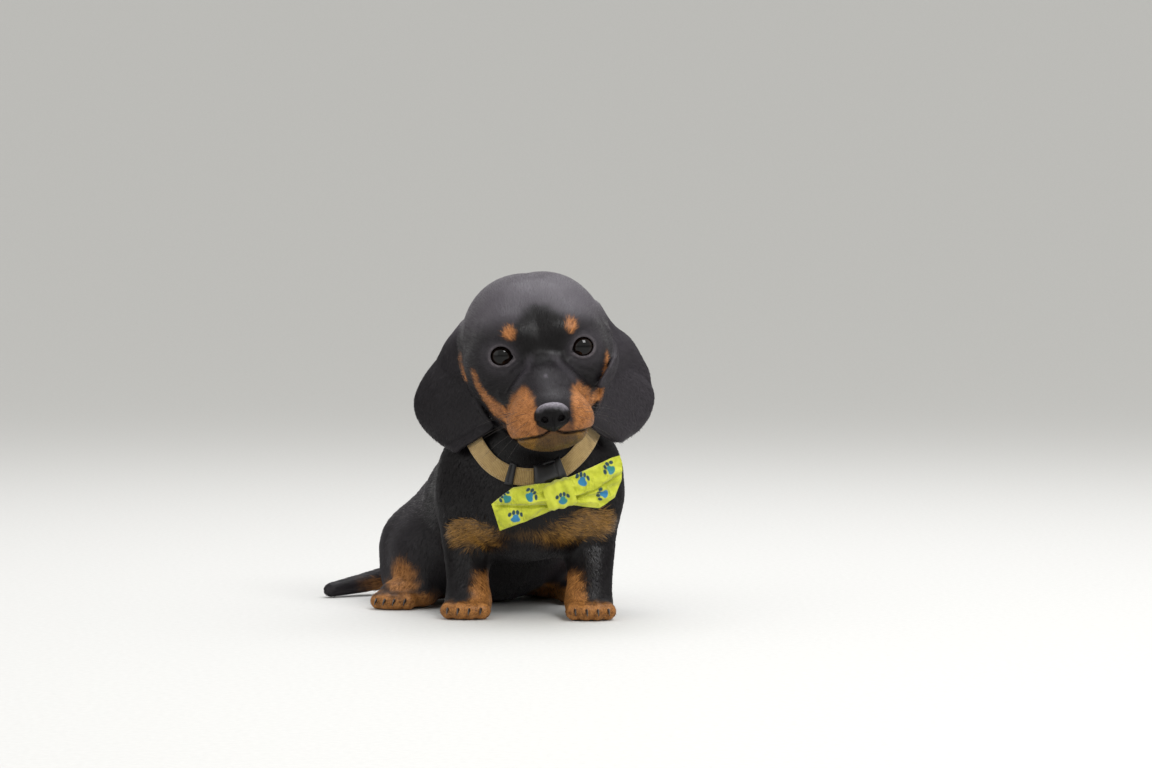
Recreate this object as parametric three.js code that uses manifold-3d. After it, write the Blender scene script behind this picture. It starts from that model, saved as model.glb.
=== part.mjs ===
// A dachshund puppy about seven weeks old, sitting, life size, in millimetres.
// It faces -Y, +Z is up, and the floor is Z = 0. Left and right are the dog's own.
// The body is one smooth field of named ellipsoids and tapered limbs, turned into faceted solids
// and parted with thin cuts where a person would name its parts. It wears a webbing collar with a
// bow tie.
import * as THREE from "three";
import { mergeVertices } from "three/addons/utils/BufferGeometryUtils.js";
import Module from "manifold-3d";

const wasm = await Module();
wasm.setup();

// Driving dimensions
const GAP = 0.3; // left between any two pieces that meet
const HEAD_AT = [2.6, -12, 152]; // middle of the skull
const HEAD_ROLL = 6.5; // degrees, the left eye held higher
const HEAD_YAW = 5; // degrees, the muzzle towards the dog's left
const SKULL = [39.2, 38.5, 37.8]; // half width, half length and half height of the skull
const MUZZLE_L = 35; // from the stop to the tip of the nose
const MUZZLE_W = 46.5; // across the upper lips
const MOUTH_Z = -47.6; // of the line of the mouth, below the middle of the skull
const NOSE = [9.4, 6.4, 7.4]; // half sizes of the nose pad
const EYE_R = 8; // eyeball
const EYE_SPAN = 43.6; // between the middles of the eyes
const EYE_OPEN = [5.9, 5.5]; // half width and half height of the opening of the lids
const LID_T = 1.5;
const EAR_T = 3.2; // thickness of an ear with its coat
const EAR_FRONT = 1.32; // the front half of an ear is this much wider than the back half
const CHEST = [44, 40, 39]; // half sizes
const LEG_OUT = { left: 32.8, right: 34.3 }; // from the middle of the chest to a foreleg
const WRIST_R = { left: 12.7, right: 11.8 };
const PAW = [13.5, 17, 9]; // half width, half length and height
const HINDPAW = [12.5, 15, 8.5];
const CLAW_L = 5.5;
const PELVIS_AT = [-31, 84, 40];
const PELVIS_YAW = 22; // degrees, the hips swung to the dog's right
const WRIST_Z = 16; // where a forepaw is parted from its leg
const COLLAR_AT = [1, -40, 78.5]; // the front of the collar
const COLLAR_SLOPE = 41; // degrees, rising to the nape
const COLLAR_W = 10;
const COLLAR_T = 1.8;
const COLLAR_SLACK = 2.5; // how far it stands off the throat
const WEB = 1.1; // how far it lies off the coat elsewhere
const COLLAR_STEPS = 36;
const BUCKLE = [4, 13.5]; // thickness and width
const SLIDER = [2, 13];
const NECK_CUT = 7; // from the middle of the collar to the cut on each side of the neck
const BOW_AT = [16.5, -44.5, 70];
const BOW_TILT = 17.5; // degrees, its left end held higher
const BOW_L = 72;
const BOW_H = { knot: 15, left: 25.5, right: 22 }; // heights at the knot and the ends
const BOW_DROOP = 0.12; // fall of a wing for each millimetre from the knot
const KNOT = [16.5, 11, 16.5];

// Cell sizes of the faceted solids
const BODY_CELL = 8.4;
const HEAD_CELL = 5;
const LEG_CELL = 6;
const PAW_CELL = 4;

const SIDES = { left: 1, right: -1 };
const FOREPAW_FORWARD = { left: 6, right: 0 };
const HINDPAW_AT = { left: [27, 64], right: [-76, 34] };
const HINDPAW_YAW = { left: 24, right: -14 };

const rad = THREE.MathUtils.degToRad;
const lerp = THREE.MathUtils.lerp;
const clamp = THREE.MathUtils.clamp;

// A field is a function of x, y, z: below 0 inside the shape, about the distance to it outside.
function ellipsoid([cx, cy, cz], [rx, ry, rz], yaw = 0, tilt = 0) {
  const turn = new THREE.Matrix4().makeRotationFromEuler(
    new THREE.Euler(rad(tilt), 0, rad(yaw), "ZXY"),
  );
  const e = turn.transpose().elements;
  return (x, y, z) => {
    const dx = x - cx;
    const dy = y - cy;
    const dz = z - cz;
    const px = (e[0] * dx + e[4] * dy + e[8] * dz) / rx;
    const py = (e[1] * dx + e[5] * dy + e[9] * dz) / ry;
    const pz = (e[2] * dx + e[6] * dy + e[10] * dz) / rz;
    const k = Math.hypot(px, py, pz);
    const slope = Math.hypot(px / rx, py / ry, pz / rz);
    return slope < 1e-9 ? -Math.min(rx, ry, rz) : (k * (k - 1)) / slope;
  };
}

// A limb from a to b, whose radius runs from ra to rb.
function limb([ax, ay, az], ra, [bx, by, bz], rb) {
  const lx = bx - ax;
  const ly = by - ay;
  const lz = bz - az;
  const l2 = lx * lx + ly * ly + lz * lz;
  return (x, y, z) => {
    const t = clamp(((x - ax) * lx + (y - ay) * ly + (z - az) * lz) / l2, 0, 1);
    return Math.hypot(x - ax - t * lx, y - ay - t * ly, z - az - t * lz) - lerp(ra, rb, t);
  };
}

// A limb through several joints, each [x, y, z, radius].
function chain(...joints) {
  const links = joints.slice(1).map((b, i) => {
    const a = joints[i];
    return limb(a.slice(0, 3), a[3], b.slice(0, 3), b[3]);
  });
  return (x, y, z) => Math.min(...links.map((f) => f(x, y, z)));
}

// Joins fields with a fillet of about k.
function blend(k, ...fields) {
  return (x, y, z) => {
    let d = fields[0](x, y, z);
    for (let i = 1; i < fields.length; i++) {
      const e = fields[i](x, y, z);
      const h = Math.max(k - Math.abs(d - e), 0) / k;
      d = Math.min(d, e) - (h * h * k) / 4;
    }
    return d;
  };
}

// The same on both sides of x = 0.
const paired = (field) => (x, y, z) => field(Math.abs(x), y, z);

// A field given in the frame of matrix, placed in the dog's frame.
function placed(field, matrix) {
  const e = matrix.clone().invert().elements;
  return (x, y, z) =>
    field(
      e[0] * x + e[4] * y + e[8] * z + e[12],
      e[1] * x + e[5] * y + e[9] * z + e[13],
      e[2] * x + e[6] * y + e[10] * z + e[14],
    );
}

const frameAt = ([x, y, z], yaw = 0, roll = 0, tilt = 0) =>
  new THREE.Matrix4()
    .makeTranslation(x, y, z)
    .multiply(new THREE.Matrix4().makeRotationZ(rad(yaw)))
    .multiply(new THREE.Matrix4().makeRotationY(rad(-roll)))
    .multiply(new THREE.Matrix4().makeRotationX(rad(tilt)));

const HEAD_FRAME = frameAt(HEAD_AT, HEAD_YAW, HEAD_ROLL);
const PELVIS_FRAME = frameAt(PELVIS_AT, PELVIS_YAW);

// The head, in its own frame: the middle of the skull at the origin, the muzzle towards -Y.
const NOSE_AT = [0, -SKULL[1] - MUZZLE_L + 6, -37.3];

function headField() {
  const skull = ellipsoid([0, 1, 0], SKULL);
  const crown = paired(ellipsoid([10, 4, 5], [25, 30, 29.5]));
  const brow = paired(ellipsoid([15.5, -25, 7], [12, 11, 9]));
  const cheekBone = paired(ellipsoid([25, -11, -15], [13, 17, 14]));
  const orbit = paired(ellipsoid([24, -19, -6], [11.5, 12.5, 12]));
  const cheek = paired(ellipsoid([17.5, -12, -29], [13.5, 19, 15]));
  const muzzleRoot = ellipsoid([0, -32, -25], [20, 20, 16]);
  const muzzle = ellipsoid([0, -51, -34], [18, 17, 13], 0, 12);
  const bridge = limb([0, -34, -21], 11, [0, -61, -35], 8.5);
  const lips = [-1, 1].map((s) =>
    ellipsoid([s * 12, -51, -41.3], [MUZZLE_W / 2 - 11.7, 16, 10.3], s * 8),
  );
  const noseBase = ellipsoid([0, -60.5, -38.5], [11, 9, 9.5]);
  const chin = ellipsoid([0, -47, -49.5], [18, 17, 8.8]);
  const jaw = ellipsoid([0, -24, -42], [21, 24, 13]);
  return blend(
    9,
    blend(12, skull, crown, brow, cheekBone, orbit, cheek, jaw),
    blend(7, muzzleRoot, muzzle, bridge, noseBase, chin),
    blend(3, ...lips),
  );
}

// The trunk: chest, shoulders, ribs and rump, with the neck on top.
function trunkField() {
  const chest = ellipsoid([0, 5, 69], CHEST);
  const shoulders = paired(ellipsoid([33, 12, 77], [18.5, 24, 25]));
  const breast = ellipsoid([0, -14, 62], [30, 22, 24]);
  const ribs = ellipsoid([-16, 47, 57], [47, 42, 42], 20);
  const belly = ellipsoid([-22, 62, 34], [40, 36, 30], 20);
  const rump = ellipsoid(PELVIS_AT, [43, 36, 42], PELVIS_YAW);
  const neck = chain([3, 2, 134, 28], [2.5, 4, 112, 32], [1, 10, 88, 38]);
  return blend(16, chest, shoulders, breast, ribs, belly, rump, neck);
}

// A paw with four toes in its own frame, its sole on the floor.
function pawField([w, l, h]) {
  const pad = ellipsoid([0, 4, h - 1.5], [w * 0.93, l * 0.8, h + 1]);
  return blend(2.5, pad, ...toes([w, l, h]).map(([from, to]) => limb(from, 5.2, to, 5.1)));
}

// The knuckle and the tip of each toe.
const toes = ([w, l, h]) =>
  [-1.5, -0.5, 0.5, 1.5].map((i) => [
    [(i * w) / 2.6, 0, h * 0.72],
    [(i * w) / 2.2, -l * 0.78 + Math.abs(i) * 2.6, h * 0.53],
  ]);

const forepawFrame = (side) =>
  frameAt([SIDES[side] * LEG_OUT[side], -20 - FOREPAW_FORWARD[side], 0], SIDES[side] * 6);
const hindpawFrame = (side) => frameAt([...HINDPAW_AT[side], 0], HINDPAW_YAW[side]);

function forelegField(side) {
  const s = SIDES[side];
  const forward = FOREPAW_FORWARD[side];
  const out = LEG_OUT[side];
  const arm = chain(
    [s * 33, 3, 62, 17.5],
    [s * (out + 1), 6, 40, 14.2],
    [s * (out + 0.5), -5 - forward / 2, 22, WRIST_R[side]],
    [s * out, -12 - forward, 12, WRIST_R[side] - 0.5],
  );
  return blend(6, arm, placed(pawField(PAW), forepawFrame(side)));
}

// A hind leg: thigh, knee, shin and a long foot flat on the floor, in the frame of the pelvis.
function hindlegField(side) {
  const s = SIDES[side];
  const thigh = ellipsoid([s * 36, 0, -10], [20, 34, 27], s * -10);
  const knee = ellipsoid([s * 41, -22, -8], [16, 19, 20], s * -12);
  const shin = limb([s * 41, -24, -14], 14, [s * 39, 14, -27], 10);
  const foot = limb([s * 40, 16, -29], 9.5, [s * 46, -34, -31], 8.5);
  const leg = placed(blend(12, thigh, knee, blend(8, shin, foot)), PELVIS_FRAME);
  return blend(6, leg, placed(pawField(HINDPAW), hindpawFrame(side)));
}

const tailField = () =>
  chain(
    [-42, 107, 26, 11],
    [-57, 120, 17, 8.5],
    [-78, 121, 12, 7],
    [-100, 111, 7, 5.8],
    [-118, 98, 4.2, 4.4],
  );

const names = Object.keys(SIDES);
const flesh = blend(
  8,
  blend(
    10,
    blend(10, trunkField(), ...names.map(hindlegField)),
    ...names.map(forelegField),
    tailField(),
  ),
  placed(headField(), HEAD_FRAME),
);

// A closed mesh round a field inside a box, with one vertex in each cell that the surface crosses.
function skinOf(field, low, high, cell, level = 0) {
  const n = low.map((l, i) => Math.ceil((high[i] - l) / cell) + 3);
  const at = (i, axis) => low[axis] + (i - 1) * cell;
  const index = (i, j, k) => i + n[0] * (j + n[1] * k);
  const value = new Float64Array(n[0] * n[1] * n[2]);
  for (let k = 0; k < n[2]; k++)
    for (let j = 0; j < n[1]; j++)
      for (let i = 0; i < n[0]; i++) {
        const edge = [i, j, k].some((c, a) => c < 1 || c > n[a] - 2);
        const f = field(at(i, 0), at(j, 1), at(k, 2)) - level;
        value[index(i, j, k)] = edge ? Math.max(f, 0.3 * cell) : f || 1e-6;
      }
  const step = [1, n[0], n[0] * n[1]];
  openCheckers(value, step);
  const corners = [0, 1, 2, 3, 4, 5, 6, 7].map((c) => [c & 1, (c >> 1) & 1, c >> 2]);
  const edges = [];
  corners.forEach((a, i) =>
    corners.forEach((b, j) => {
      if (j > i && a.reduce((s, v, x) => s + Math.abs(v - b[x]), 0) === 1) edges.push([i, j]);
    }),
  );
  const vertexOf = new Map();
  const points = [];
  for (let k = 0; k < n[2] - 1; k++)
    for (let j = 0; j < n[1] - 1; j++)
      for (let i = 0; i < n[0] - 1; i++) {
        const base = index(i, j, k);
        const v = corners.map(([a, b, c]) => value[base + a * step[0] + b * step[1] + c * step[2]]);
        if (v.every((f) => f < 0) || v.every((f) => f > 0)) continue;
        const sum = [0, 0, 0];
        let count = 0;
        for (const [a, b] of edges) {
          if (v[a] < 0 === v[b] < 0) continue;
          const t = v[a] / (v[a] - v[b]);
          for (let x = 0; x < 3; x++) sum[x] += lerp(corners[a][x], corners[b][x], t);
          count++;
        }
        const start = [at(i, 0), at(j, 1), at(k, 2)];
        const p = sum.map((s, x) => start[x] + (s / count) * cell);
        vertexOf.set(base, points.length / 3);
        points.push(...pulledOn(field, p, cell, level));
      }
  const faces = [];
  for (let k = 0; k < n[2] - 1; k++)
    for (let j = 0; j < n[1] - 1; j++)
      for (let i = 0; i < n[0] - 1; i++) {
        const base = index(i, j, k);
        for (let a = 0; a < 3; a++) {
          const inside = value[base] < 0;
          if (inside === value[base + step[a]] < 0) continue;
          const [b, c] = [step[(a + 1) % 3], step[(a + 2) % 3]];
          const quad = [base - b - c, base - c, base, base - b].map((q) => vertexOf.get(q));
          if (!inside) quad.reverse();
          faces.push(...splitQuad(points, quad));
        }
      }
  const geometry = new THREE.BufferGeometry();
  geometry.setAttribute("position", new THREE.Float32BufferAttribute(points, 3));
  geometry.setIndex(faces);
  return geometry;
}

// Moves a point onto the surface, but no further than a part of a cell.
function pulledOn(field, point, cell, level) {
  const p = [...point];
  const e = 0.05;
  for (let turn = 0; turn < 3; turn++) {
    const f = field(...p) - level;
    const g = [0, 1, 2].map((a) => {
      const q = [...p];
      q[a] += e;
      return (field(...q) - level - f) / e;
    });
    const g2 = g[0] ** 2 + g[1] ** 2 + g[2] ** 2;
    if (g2 < 0.05) break;
    g.forEach((s, a) => {
      p[a] = clamp(p[a] - (f * s) / g2, point[a] - 0.4 * cell, point[a] + 0.4 * cell);
    });
  }
  return p;
}

// Empties the cell faces whose corners are inside and outside by turns, so that the mesh is sound.
function openCheckers(value, step) {
  let found = true;
  while (found) {
    found = false;
    for (let a = 0; a < 3; a++) {
      const [b, c] = [step[(a + 1) % 3], step[(a + 2) % 3]];
      for (let i = 0; i < value.length - b - c; i++) {
        const inside = [i, i + b, i + b + c, i + c].map((q) => value[q] < 0);
        if (inside[0] === inside[2] && inside[1] === inside[3] && inside[0] !== inside[1]) {
          for (const q of [i, i + b, i + b + c, i + c]) value[q] = Math.abs(value[q]);
          found = true;
        }
      }
    }
  }
}

// A quad as two triangles, cut along its shorter diagonal.
function splitQuad(points, [a, b, c, d]) {
  const far = (p, q) =>
    Math.hypot(...[0, 1, 2].map((x) => points[3 * p + x] - points[3 * q + x]));
  return far(a, c) < far(b, d) ? [a, b, c, a, c, d] : [a, b, d, b, c, d];
}

function solidOf(geometry, matrix = new THREE.Matrix4()) {
  const plain = new THREE.BufferGeometry();
  plain.setAttribute("position", geometry.getAttribute("position").clone());
  if (geometry.index) plain.setIndex(geometry.index.clone());
  const merged = mergeVertices(plain.applyMatrix4(matrix), 1e-4);
  return new wasm.Manifold(
    new wasm.Mesh({
      numProp: 3,
      vertProperties: merged.attributes.position.array,
      triVerts: new Uint32Array(merged.index.array),
    }),
  );
}

function geometryOf(solid) {
  const mesh = solid.getMesh();
  const geometry = new THREE.BufferGeometry();
  geometry.setAttribute("position", new THREE.Float32BufferAttribute(mesh.vertProperties, 3));
  geometry.setIndex(new THREE.BufferAttribute(mesh.triVerts, 1));
  geometry.computeVertexNormals();
  return geometry;
}

// The largest closed surface of a solid.
function largest(solid) {
  const bodies = solid.decompose().sort((a, b) => b.volume() - a.volume());
  return bodies[0];
}

// A closed mesh through rings of points. With loop, the last ring joins the first, otherwise
// both ends are closed with fans.
function loft(rings, loop = false) {
  const count = rings[0].length;
  const points = rings.flat();
  const faces = [];
  const at = (ring, i) => (ring % rings.length) * count + (i % count);
  for (let ring = 0; ring < rings.length - (loop ? 0 : 1); ring++)
    for (let i = 0; i < count; i++) {
      const quad = [at(ring, i), at(ring, i + 1), at(ring + 1, i + 1), at(ring + 1, i)];
      faces.push(...splitQuad(points.flat(), quad));
    }
  if (!loop)
    for (const ring of [0, rings.length - 1]) {
      const middle = [0, 1, 2].map((a) => rings[ring].reduce((s, p) => s + p[a], 0) / count);
      points.push(middle);
      for (let i = 0; i < count; i++) {
        const [a, b] = [at(ring, i), at(ring, i + 1)];
        faces.push(...(ring ? [a, b, points.length - 1] : [b, a, points.length - 1]));
      }
    }
  const geometry = new THREE.BufferGeometry();
  geometry.setAttribute("position", new THREE.Float32BufferAttribute(points.flat(), 3));
  geometry.setIndex(faces);
  const solid = solidOf(geometry);
  if (solid.volume() > 0) return solid;
  for (let i = 0; i < faces.length; i += 3) [faces[i], faces[i + 1]] = [faces[i + 1], faces[i]];
  geometry.setIndex(faces);
  return solidOf(geometry);
}

// Cutting shapes. Each grows by g, so that two neighbours cut by it are g apart.
// All that lies on the side of a plane that its normal points to.
function beyond(point, normal, g = 0) {
  const n = new THREE.Vector3(...normal).normalize();
  const middle = new THREE.Vector3(...point).addScaledVector(n, 300 - g);
  const turn = new THREE.Quaternion().setFromUnitVectors(new THREE.Vector3(0, 0, 1), n);
  const matrix = new THREE.Matrix4().compose(middle, turn, new THREE.Vector3(1, 1, 1));
  return solidOf(new THREE.BoxGeometry(600, 600, 600), matrix);
}

function ball(frame, [x, y, z], radii, g = 0, detail = 2) {
  const matrix = frame
    .clone()
    .multiply(new THREE.Matrix4().makeTranslation(x, y, z))
    .multiply(new THREE.Matrix4().makeScale(...radii.map((r) => r + g)));
  return solidOf(new THREE.IcosahedronGeometry(1, detail), matrix);
}

function block(frame, low, high) {
  const size = high.map((h, i) => h - low[i]);
  const middle = high.map((h, i) => (h + low[i]) / 2);
  const matrix = frame.clone().multiply(new THREE.Matrix4().makeTranslation(...middle));
  return solidOf(new THREE.BoxGeometry(...size), matrix);
}

const DOG = new THREE.Matrix4();
const slope = rad(COLLAR_SLOPE);
const collarUp = [0, -Math.sin(slope), Math.cos(slope)];
const alongCollar = (d) => COLLAR_AT.map((c, i) => c + collarUp[i] * d);
const down = collarUp.map((c) => -c);
const aboveNeck = (g) => beyond(alongCollar(NECK_CUT), collarUp, g);
const belowNeck = (g) => beyond(alongCollar(-NECK_CUT), down, g);
const forepaw = (side) => (g) =>
  block(forepawFrame(side), [-18 - g, -29 - g, -9], [18 + g, 22 + g, WRIST_Z + g]);
const foreleg = (side) => (g) => ball(DOG, [SIDES[side] * 36, 1, 12], [21.5, 27, 48], g, 3);
const hindleg = (side) => (g) =>
  ball(PELVIS_FRAME, [SIDES[side] * 43, -9, -14], [21, 38, 36], g, 3);
const hindpaw = (side) => (g) =>
  block(hindpawFrame(side), [-17 - g, -26 - g, -9], [17 + g, 13 + g, WRIST_Z + g]);
const tailCut = (g) => {
  const tip = block(DOG, [-140, 80, -9], [-94, 150, 40]);
  const root = block(DOG, [-96, 107 - g, -9], [-40, 150, 45]);
  return beyond([-51, 114, 20], [-0.78, 0.55, -0.3], g).intersect(tip.add(root));
};
const jawCut = (g) => block(HEAD_FRAME, [-40, -100, -90], [40, -27 + g, MOUTH_Z + g]);

// One piece of the body: the skin inside a box, kept inside some cutters and out of others.
function piece(low, high, cell, keep, drop, level = 0) {
  let solid = solidOf(skinOf(flesh, low, high, cell, level));
  for (const cutter of keep) solid = solid.intersect(cutter(0));
  for (const cutter of drop) solid = solid.subtract(cutter(GAP));
  return largest(solid.intersect(beyond([0, 0, 0], [0, 0, 1])));
}

// An eye looks forwards and a little outwards.
const eyeFrame = (side) =>
  HEAD_FRAME.clone().multiply(
    frameAt([1.2 + (SIDES[side] * EYE_SPAN) / 2, -26.6, -4.3], SIDES[side] * 6),
  );

// The opening of the lids, a round cone that widens from the middle of the eye.
function lidOpening(side) {
  const cone = new THREE.CylinderGeometry(1.5, 0.3, 16, 18);
  const matrix = eyeFrame(side)
    .multiply(new THREE.Matrix4().makeTranslation(0, -8, 0))
    .multiply(new THREE.Matrix4().makeScale(EYE_OPEN[0], 1, EYE_OPEN[1]))
    .multiply(new THREE.Matrix4().makeScale(1, -1, 1));
  const geometry = cone.applyMatrix4(matrix);
  const index = geometry.index.array;
  for (let i = 0; i < index.length; i += 3) [index[i], index[i + 1]] = [index[i + 1], index[i]];
  return solidOf(geometry);
}

function makeHead() {
  const [x, y, z] = HEAD_AT;
  let solid = piece(
    [x - 45, y - 92, z - 66],
    [x + 45, y + 46, z + 44],
    HEAD_CELL,
    [aboveNeck],
    [jawCut],
  );
  for (const side of names) {
    const r = EYE_R + LID_T;
    solid = solid.add(ball(eyeFrame(side), [0, 0.4, 0], [r + 0.4, r, r]));
  }
  for (const side of names) {
    solid = solid.subtract(lidOpening(side));
    solid = solid.subtract(ball(eyeFrame(side), [0, 0, 0], [EYE_R, EYE_R, EYE_R], GAP));
  }
  return largest(solid.subtract(nosePad(GAP)));
}

function makeJaw() {
  const [x, y, z] = HEAD_AT;
  const low = [x - 30, y - 80, z - 66];
  const high = [x + 34, y - 20, z - 40];
  return piece(low, high, 4, [aboveNeck, jawCut], [], -0.7);
}

// The nose pad, before its nostrils are cut.
function nosePad(g = 0) {
  const pad = ball(HEAD_FRAME, NOSE_AT, NOSE, g);
  const [x, y, z] = NOSE_AT;
  return pad.add(ball(HEAD_FRAME, [x, y + 1, z - 5], [3.2, 4.6, 5], g, 1));
}

// A nostril is a round hole with a slit that curls outwards, and a furrow parts the two.
function makeNose() {
  let solid = nosePad();
  const [x, y, z] = NOSE_AT;
  for (const s of [-1, 1]) {
    const hole = frameAt([x + s * 4, y - 5.4, z + 0.6], s * 24);
    const slit = frameAt([x + s * 7.4, y - 3.2, z - 0.6], s * 48);
    solid = solid.subtract(ball(HEAD_FRAME.clone().multiply(hole), [0, 0, 0], [1.7, 3, 2.1], 0, 1));
    solid = solid.subtract(ball(HEAD_FRAME.clone().multiply(slit), [0, 0, 0], [2.4, 1.6, 0.9], 0, 1));
  }
  const furrow = block(HEAD_FRAME, [-0.35, y - 8, z - 14], [0.35, y - 5.1, z - 0.5]);
  return largest(solid.subtract(furrow));
}

const makeEye = (side) => ball(eyeFrame(side), [0, 0, 0], [EYE_R, EYE_R, EYE_R]);

// The middle line of each ear, from the root to the tip: x, y, z, half width, and the turn in
// degrees of the sheet about the vertical. The ears hang straight down from the tilted head.
const EARS = {
  right: [
    [-36, -2, 161, 8, 80],
    [-43.5, -5, 148, 11, 62],
    [-46, -9, 132, 18, 45],
    [-46.2, -12, 118, 21.5, 34],
    [-44.3, -13, 106, 19, 30],
    [-40.3, -13.5, 96.5, 12.3, 28],
    [-37, -14, 90.5, 3, 28],
  ],
  left: [
    [36, -5, 171, 8, 78],
    [43.2, -7, 158, 11, 66],
    [49.4, -10, 144, 17, 49],
    [53.2, -12, 128, 20.3, 38],
    [52.6, -13, 114, 18.7, 33],
    [51, -14, 104, 12.3, 30],
    [49.3, -14, 98, 3, 30],
  ],
};

// A value along a list at u from 0 to 1, through all of its entries.
function through(list, u) {
  const along = clamp(u, 0, 0.9999) * (list.length - 1);
  const i = Math.floor(along);
  const t = along - i;
  const [b, c] = [list[i], list[i + 1]];
  const a = list[Math.max(i - 1, 0)];
  const d = list[Math.min(i + 2, list.length - 1)];
  return b + 0.5 * t * (c - a + t * (2 * a - 5 * b + 4 * c - d + t * (3 * (b - c) + d - a)));
}

// A point of an ear's middle sheet: v runs from its front edge, -1, to its back edge, 1.
function earPoint(side, u, v) {
  const [x, y, z, half, turn] = [0, 1, 2, 3, 4].map((k) =>
    through(
      EARS[side].map((row) => row[k]),
      u,
    ),
  );
  const s = SIDES[side];
  const cup = 3.5 * (0.4 - v * v);
  const reach = half * v * (v < 0 ? lerp(1, EAR_FRONT, clamp((u - 0.2) / 0.3, 0, 1)) : 1);
  const [across, out] = [Math.cos(rad(turn)), Math.sin(rad(turn))];
  const p = [
    x + s * (reach * across + cup * out),
    y + reach * out - cup * across,
    z + 3 * v * (1 - u),
  ];
  return u < 0.12 ? p : clear(p);
}

// How far the middle sheet of an ear stays off the flesh: more where it hangs over the collar.
function earRoom(p) {
  const h = Math.abs(p.reduce((sum, c, a) => sum + (c - COLLAR_AT[a]) * collarUp[a], 0));
  const over = clamp((COLLAR_W / 2 + 7 - h) / 5, 0, 1);
  return EAR_T / 2 + 0.35 + over * (WEB + COLLAR_T + 1);
}

// The point moved out of the flesh until there is room for the ear.
function clear(p) {
  const e = 0.05;
  let q = [...p];
  for (let turn = 0; turn < 4; turn++) {
    const distance = earRoom(q);
    const f = flesh(...q);
    if (f >= distance) break;
    const g = [0, 1, 2].map((a) => {
      const r = [...q];
      r[a] += e;
      return (flesh(...r) - f) / e;
    });
    const size = Math.hypot(...g);
    q = q.map((c, a) => c + (g[a] / size) * (distance - f));
  }
  return q;
}

function makeEar(side) {
  const rings = [];
  const rows = 12;
  const half = 6;
  for (let i = 0; i <= rows; i++) {
    const u = i / rows;
    const ring = [];
    for (let j = 0; j < 2 * half; j++) {
      const angle = (j / half) * Math.PI;
      const v = Math.cos(angle);
      const p = earPoint(side, u, v);
      const pu = earPoint(side, Math.min(u + 0.02, 1), v);
      const pv = earPoint(side, u, v > 0 ? v - 0.05 : v + 0.05);
      const du = new THREE.Vector3(...pu.map((c, a) => c - p[a]));
      const dv = new THREE.Vector3(...pv.map((c, a) => c - p[a])).multiplyScalar(v > 0 ? -1 : 1);
      const normal = du.cross(dv).normalize();
      const thick = (EAR_T / 2) * Math.sign(Math.sin(angle)) * Math.sqrt(Math.abs(Math.sin(angle)));
      const step = Math.abs(v) > 0.999 ? 0 : thick * (u > 0.98 ? 0.6 : 1);
      ring.push(p.map((c, a) => c + normal.getComponent(a) * step));
    }
    rings.push(ring);
  }
  const [x, y, z] = EARS[side][0];
  const skull = solidOf(skinOf(flesh, [x - 35, y - 45, 85], [x + 35, y + 35, z + 25], 3.9, GAP));
  return largest(loft(rings).subtract(skull));
}

// Where the collar's plane comes clear of the coat at an angle round the neck, h above its middle.
function collarPoint(angle, h) {
  const axis = alongCollar(h);
  const back = [0, Math.cos(slope), Math.sin(slope)];
  const middle = axis.map((c, i) => c + back[i] * 42);
  const out = [Math.sin(angle), -Math.cos(angle) * back[1], -Math.cos(angle) * back[2]];
  const at = (r) => middle.map((c, i) => c + out[i] * r);
  let r = 0;
  while (flesh(...at(r)) < WEB) r += 0.5;
  for (let step = 0.25; step > 0.01; step /= 2) r += flesh(...at(r)) < WEB ? step : -step;
  const slack = COLLAR_SLACK * Math.max(Math.cos(angle), 0) ** 2;
  return at(r + slack);
}

// Three points across the webbing at an angle, width apart from edge to edge along the coat and
// lift above its inside. Its edges stay as far off the flesh as its middle.
function acrossWeb(angle, lift, width) {
  const [low, middle, high] = [-1, 0, 1].map((h) => collarPoint(angle, h));
  const across = new THREE.Vector3(...high.map((c, a) => c - low[a])).normalize();
  const [sin, cos] = [Math.sin(angle), Math.cos(angle)];
  const round = new THREE.Vector3(cos, sin * Math.cos(slope), sin * Math.sin(slope));
  const out = round.cross(across).normalize();
  return [-1, 0, 1].map((h) => {
    const edge = new THREE.Vector3(...middle).addScaledVector(across, (h * width) / 2);
    const lack = Math.max(WEB - flesh(...edge.toArray()), 0);
    return edge.addScaledVector(out, lift + lack).toArray();
  });
}

// A band round the neck between two angles in degrees, or all round it, from low to high above
// the inside of the webbing.
function band(from, to, low, high, width, steps) {
  const rings = [];
  const whole = to - from === 360;
  for (let i = 0; i < steps + (whole ? 0 : 1); i++) {
    const angle = rad(lerp(from, to, i / steps));
    rings.push([...acrossWeb(angle, low, width), ...acrossWeb(angle, high, width).reverse()]);
  }
  return loft(rings, whole);
}

const ON_WEB = COLLAR_T + GAP;
const makeCollar = () => band(0, 360, 0, COLLAR_T, COLLAR_W, COLLAR_STEPS);
const makeBuckle = () => band(2, 26, ON_WEB, ON_WEB + BUCKLE[0], BUCKLE[1], 7);
const makeSlider = () => band(-18, -12, ON_WEB, ON_WEB + SLIDER[0], SLIDER[1], 2);

const BOW_FRAME = frameAt(BOW_AT, 3, BOW_TILT, 10);

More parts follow.
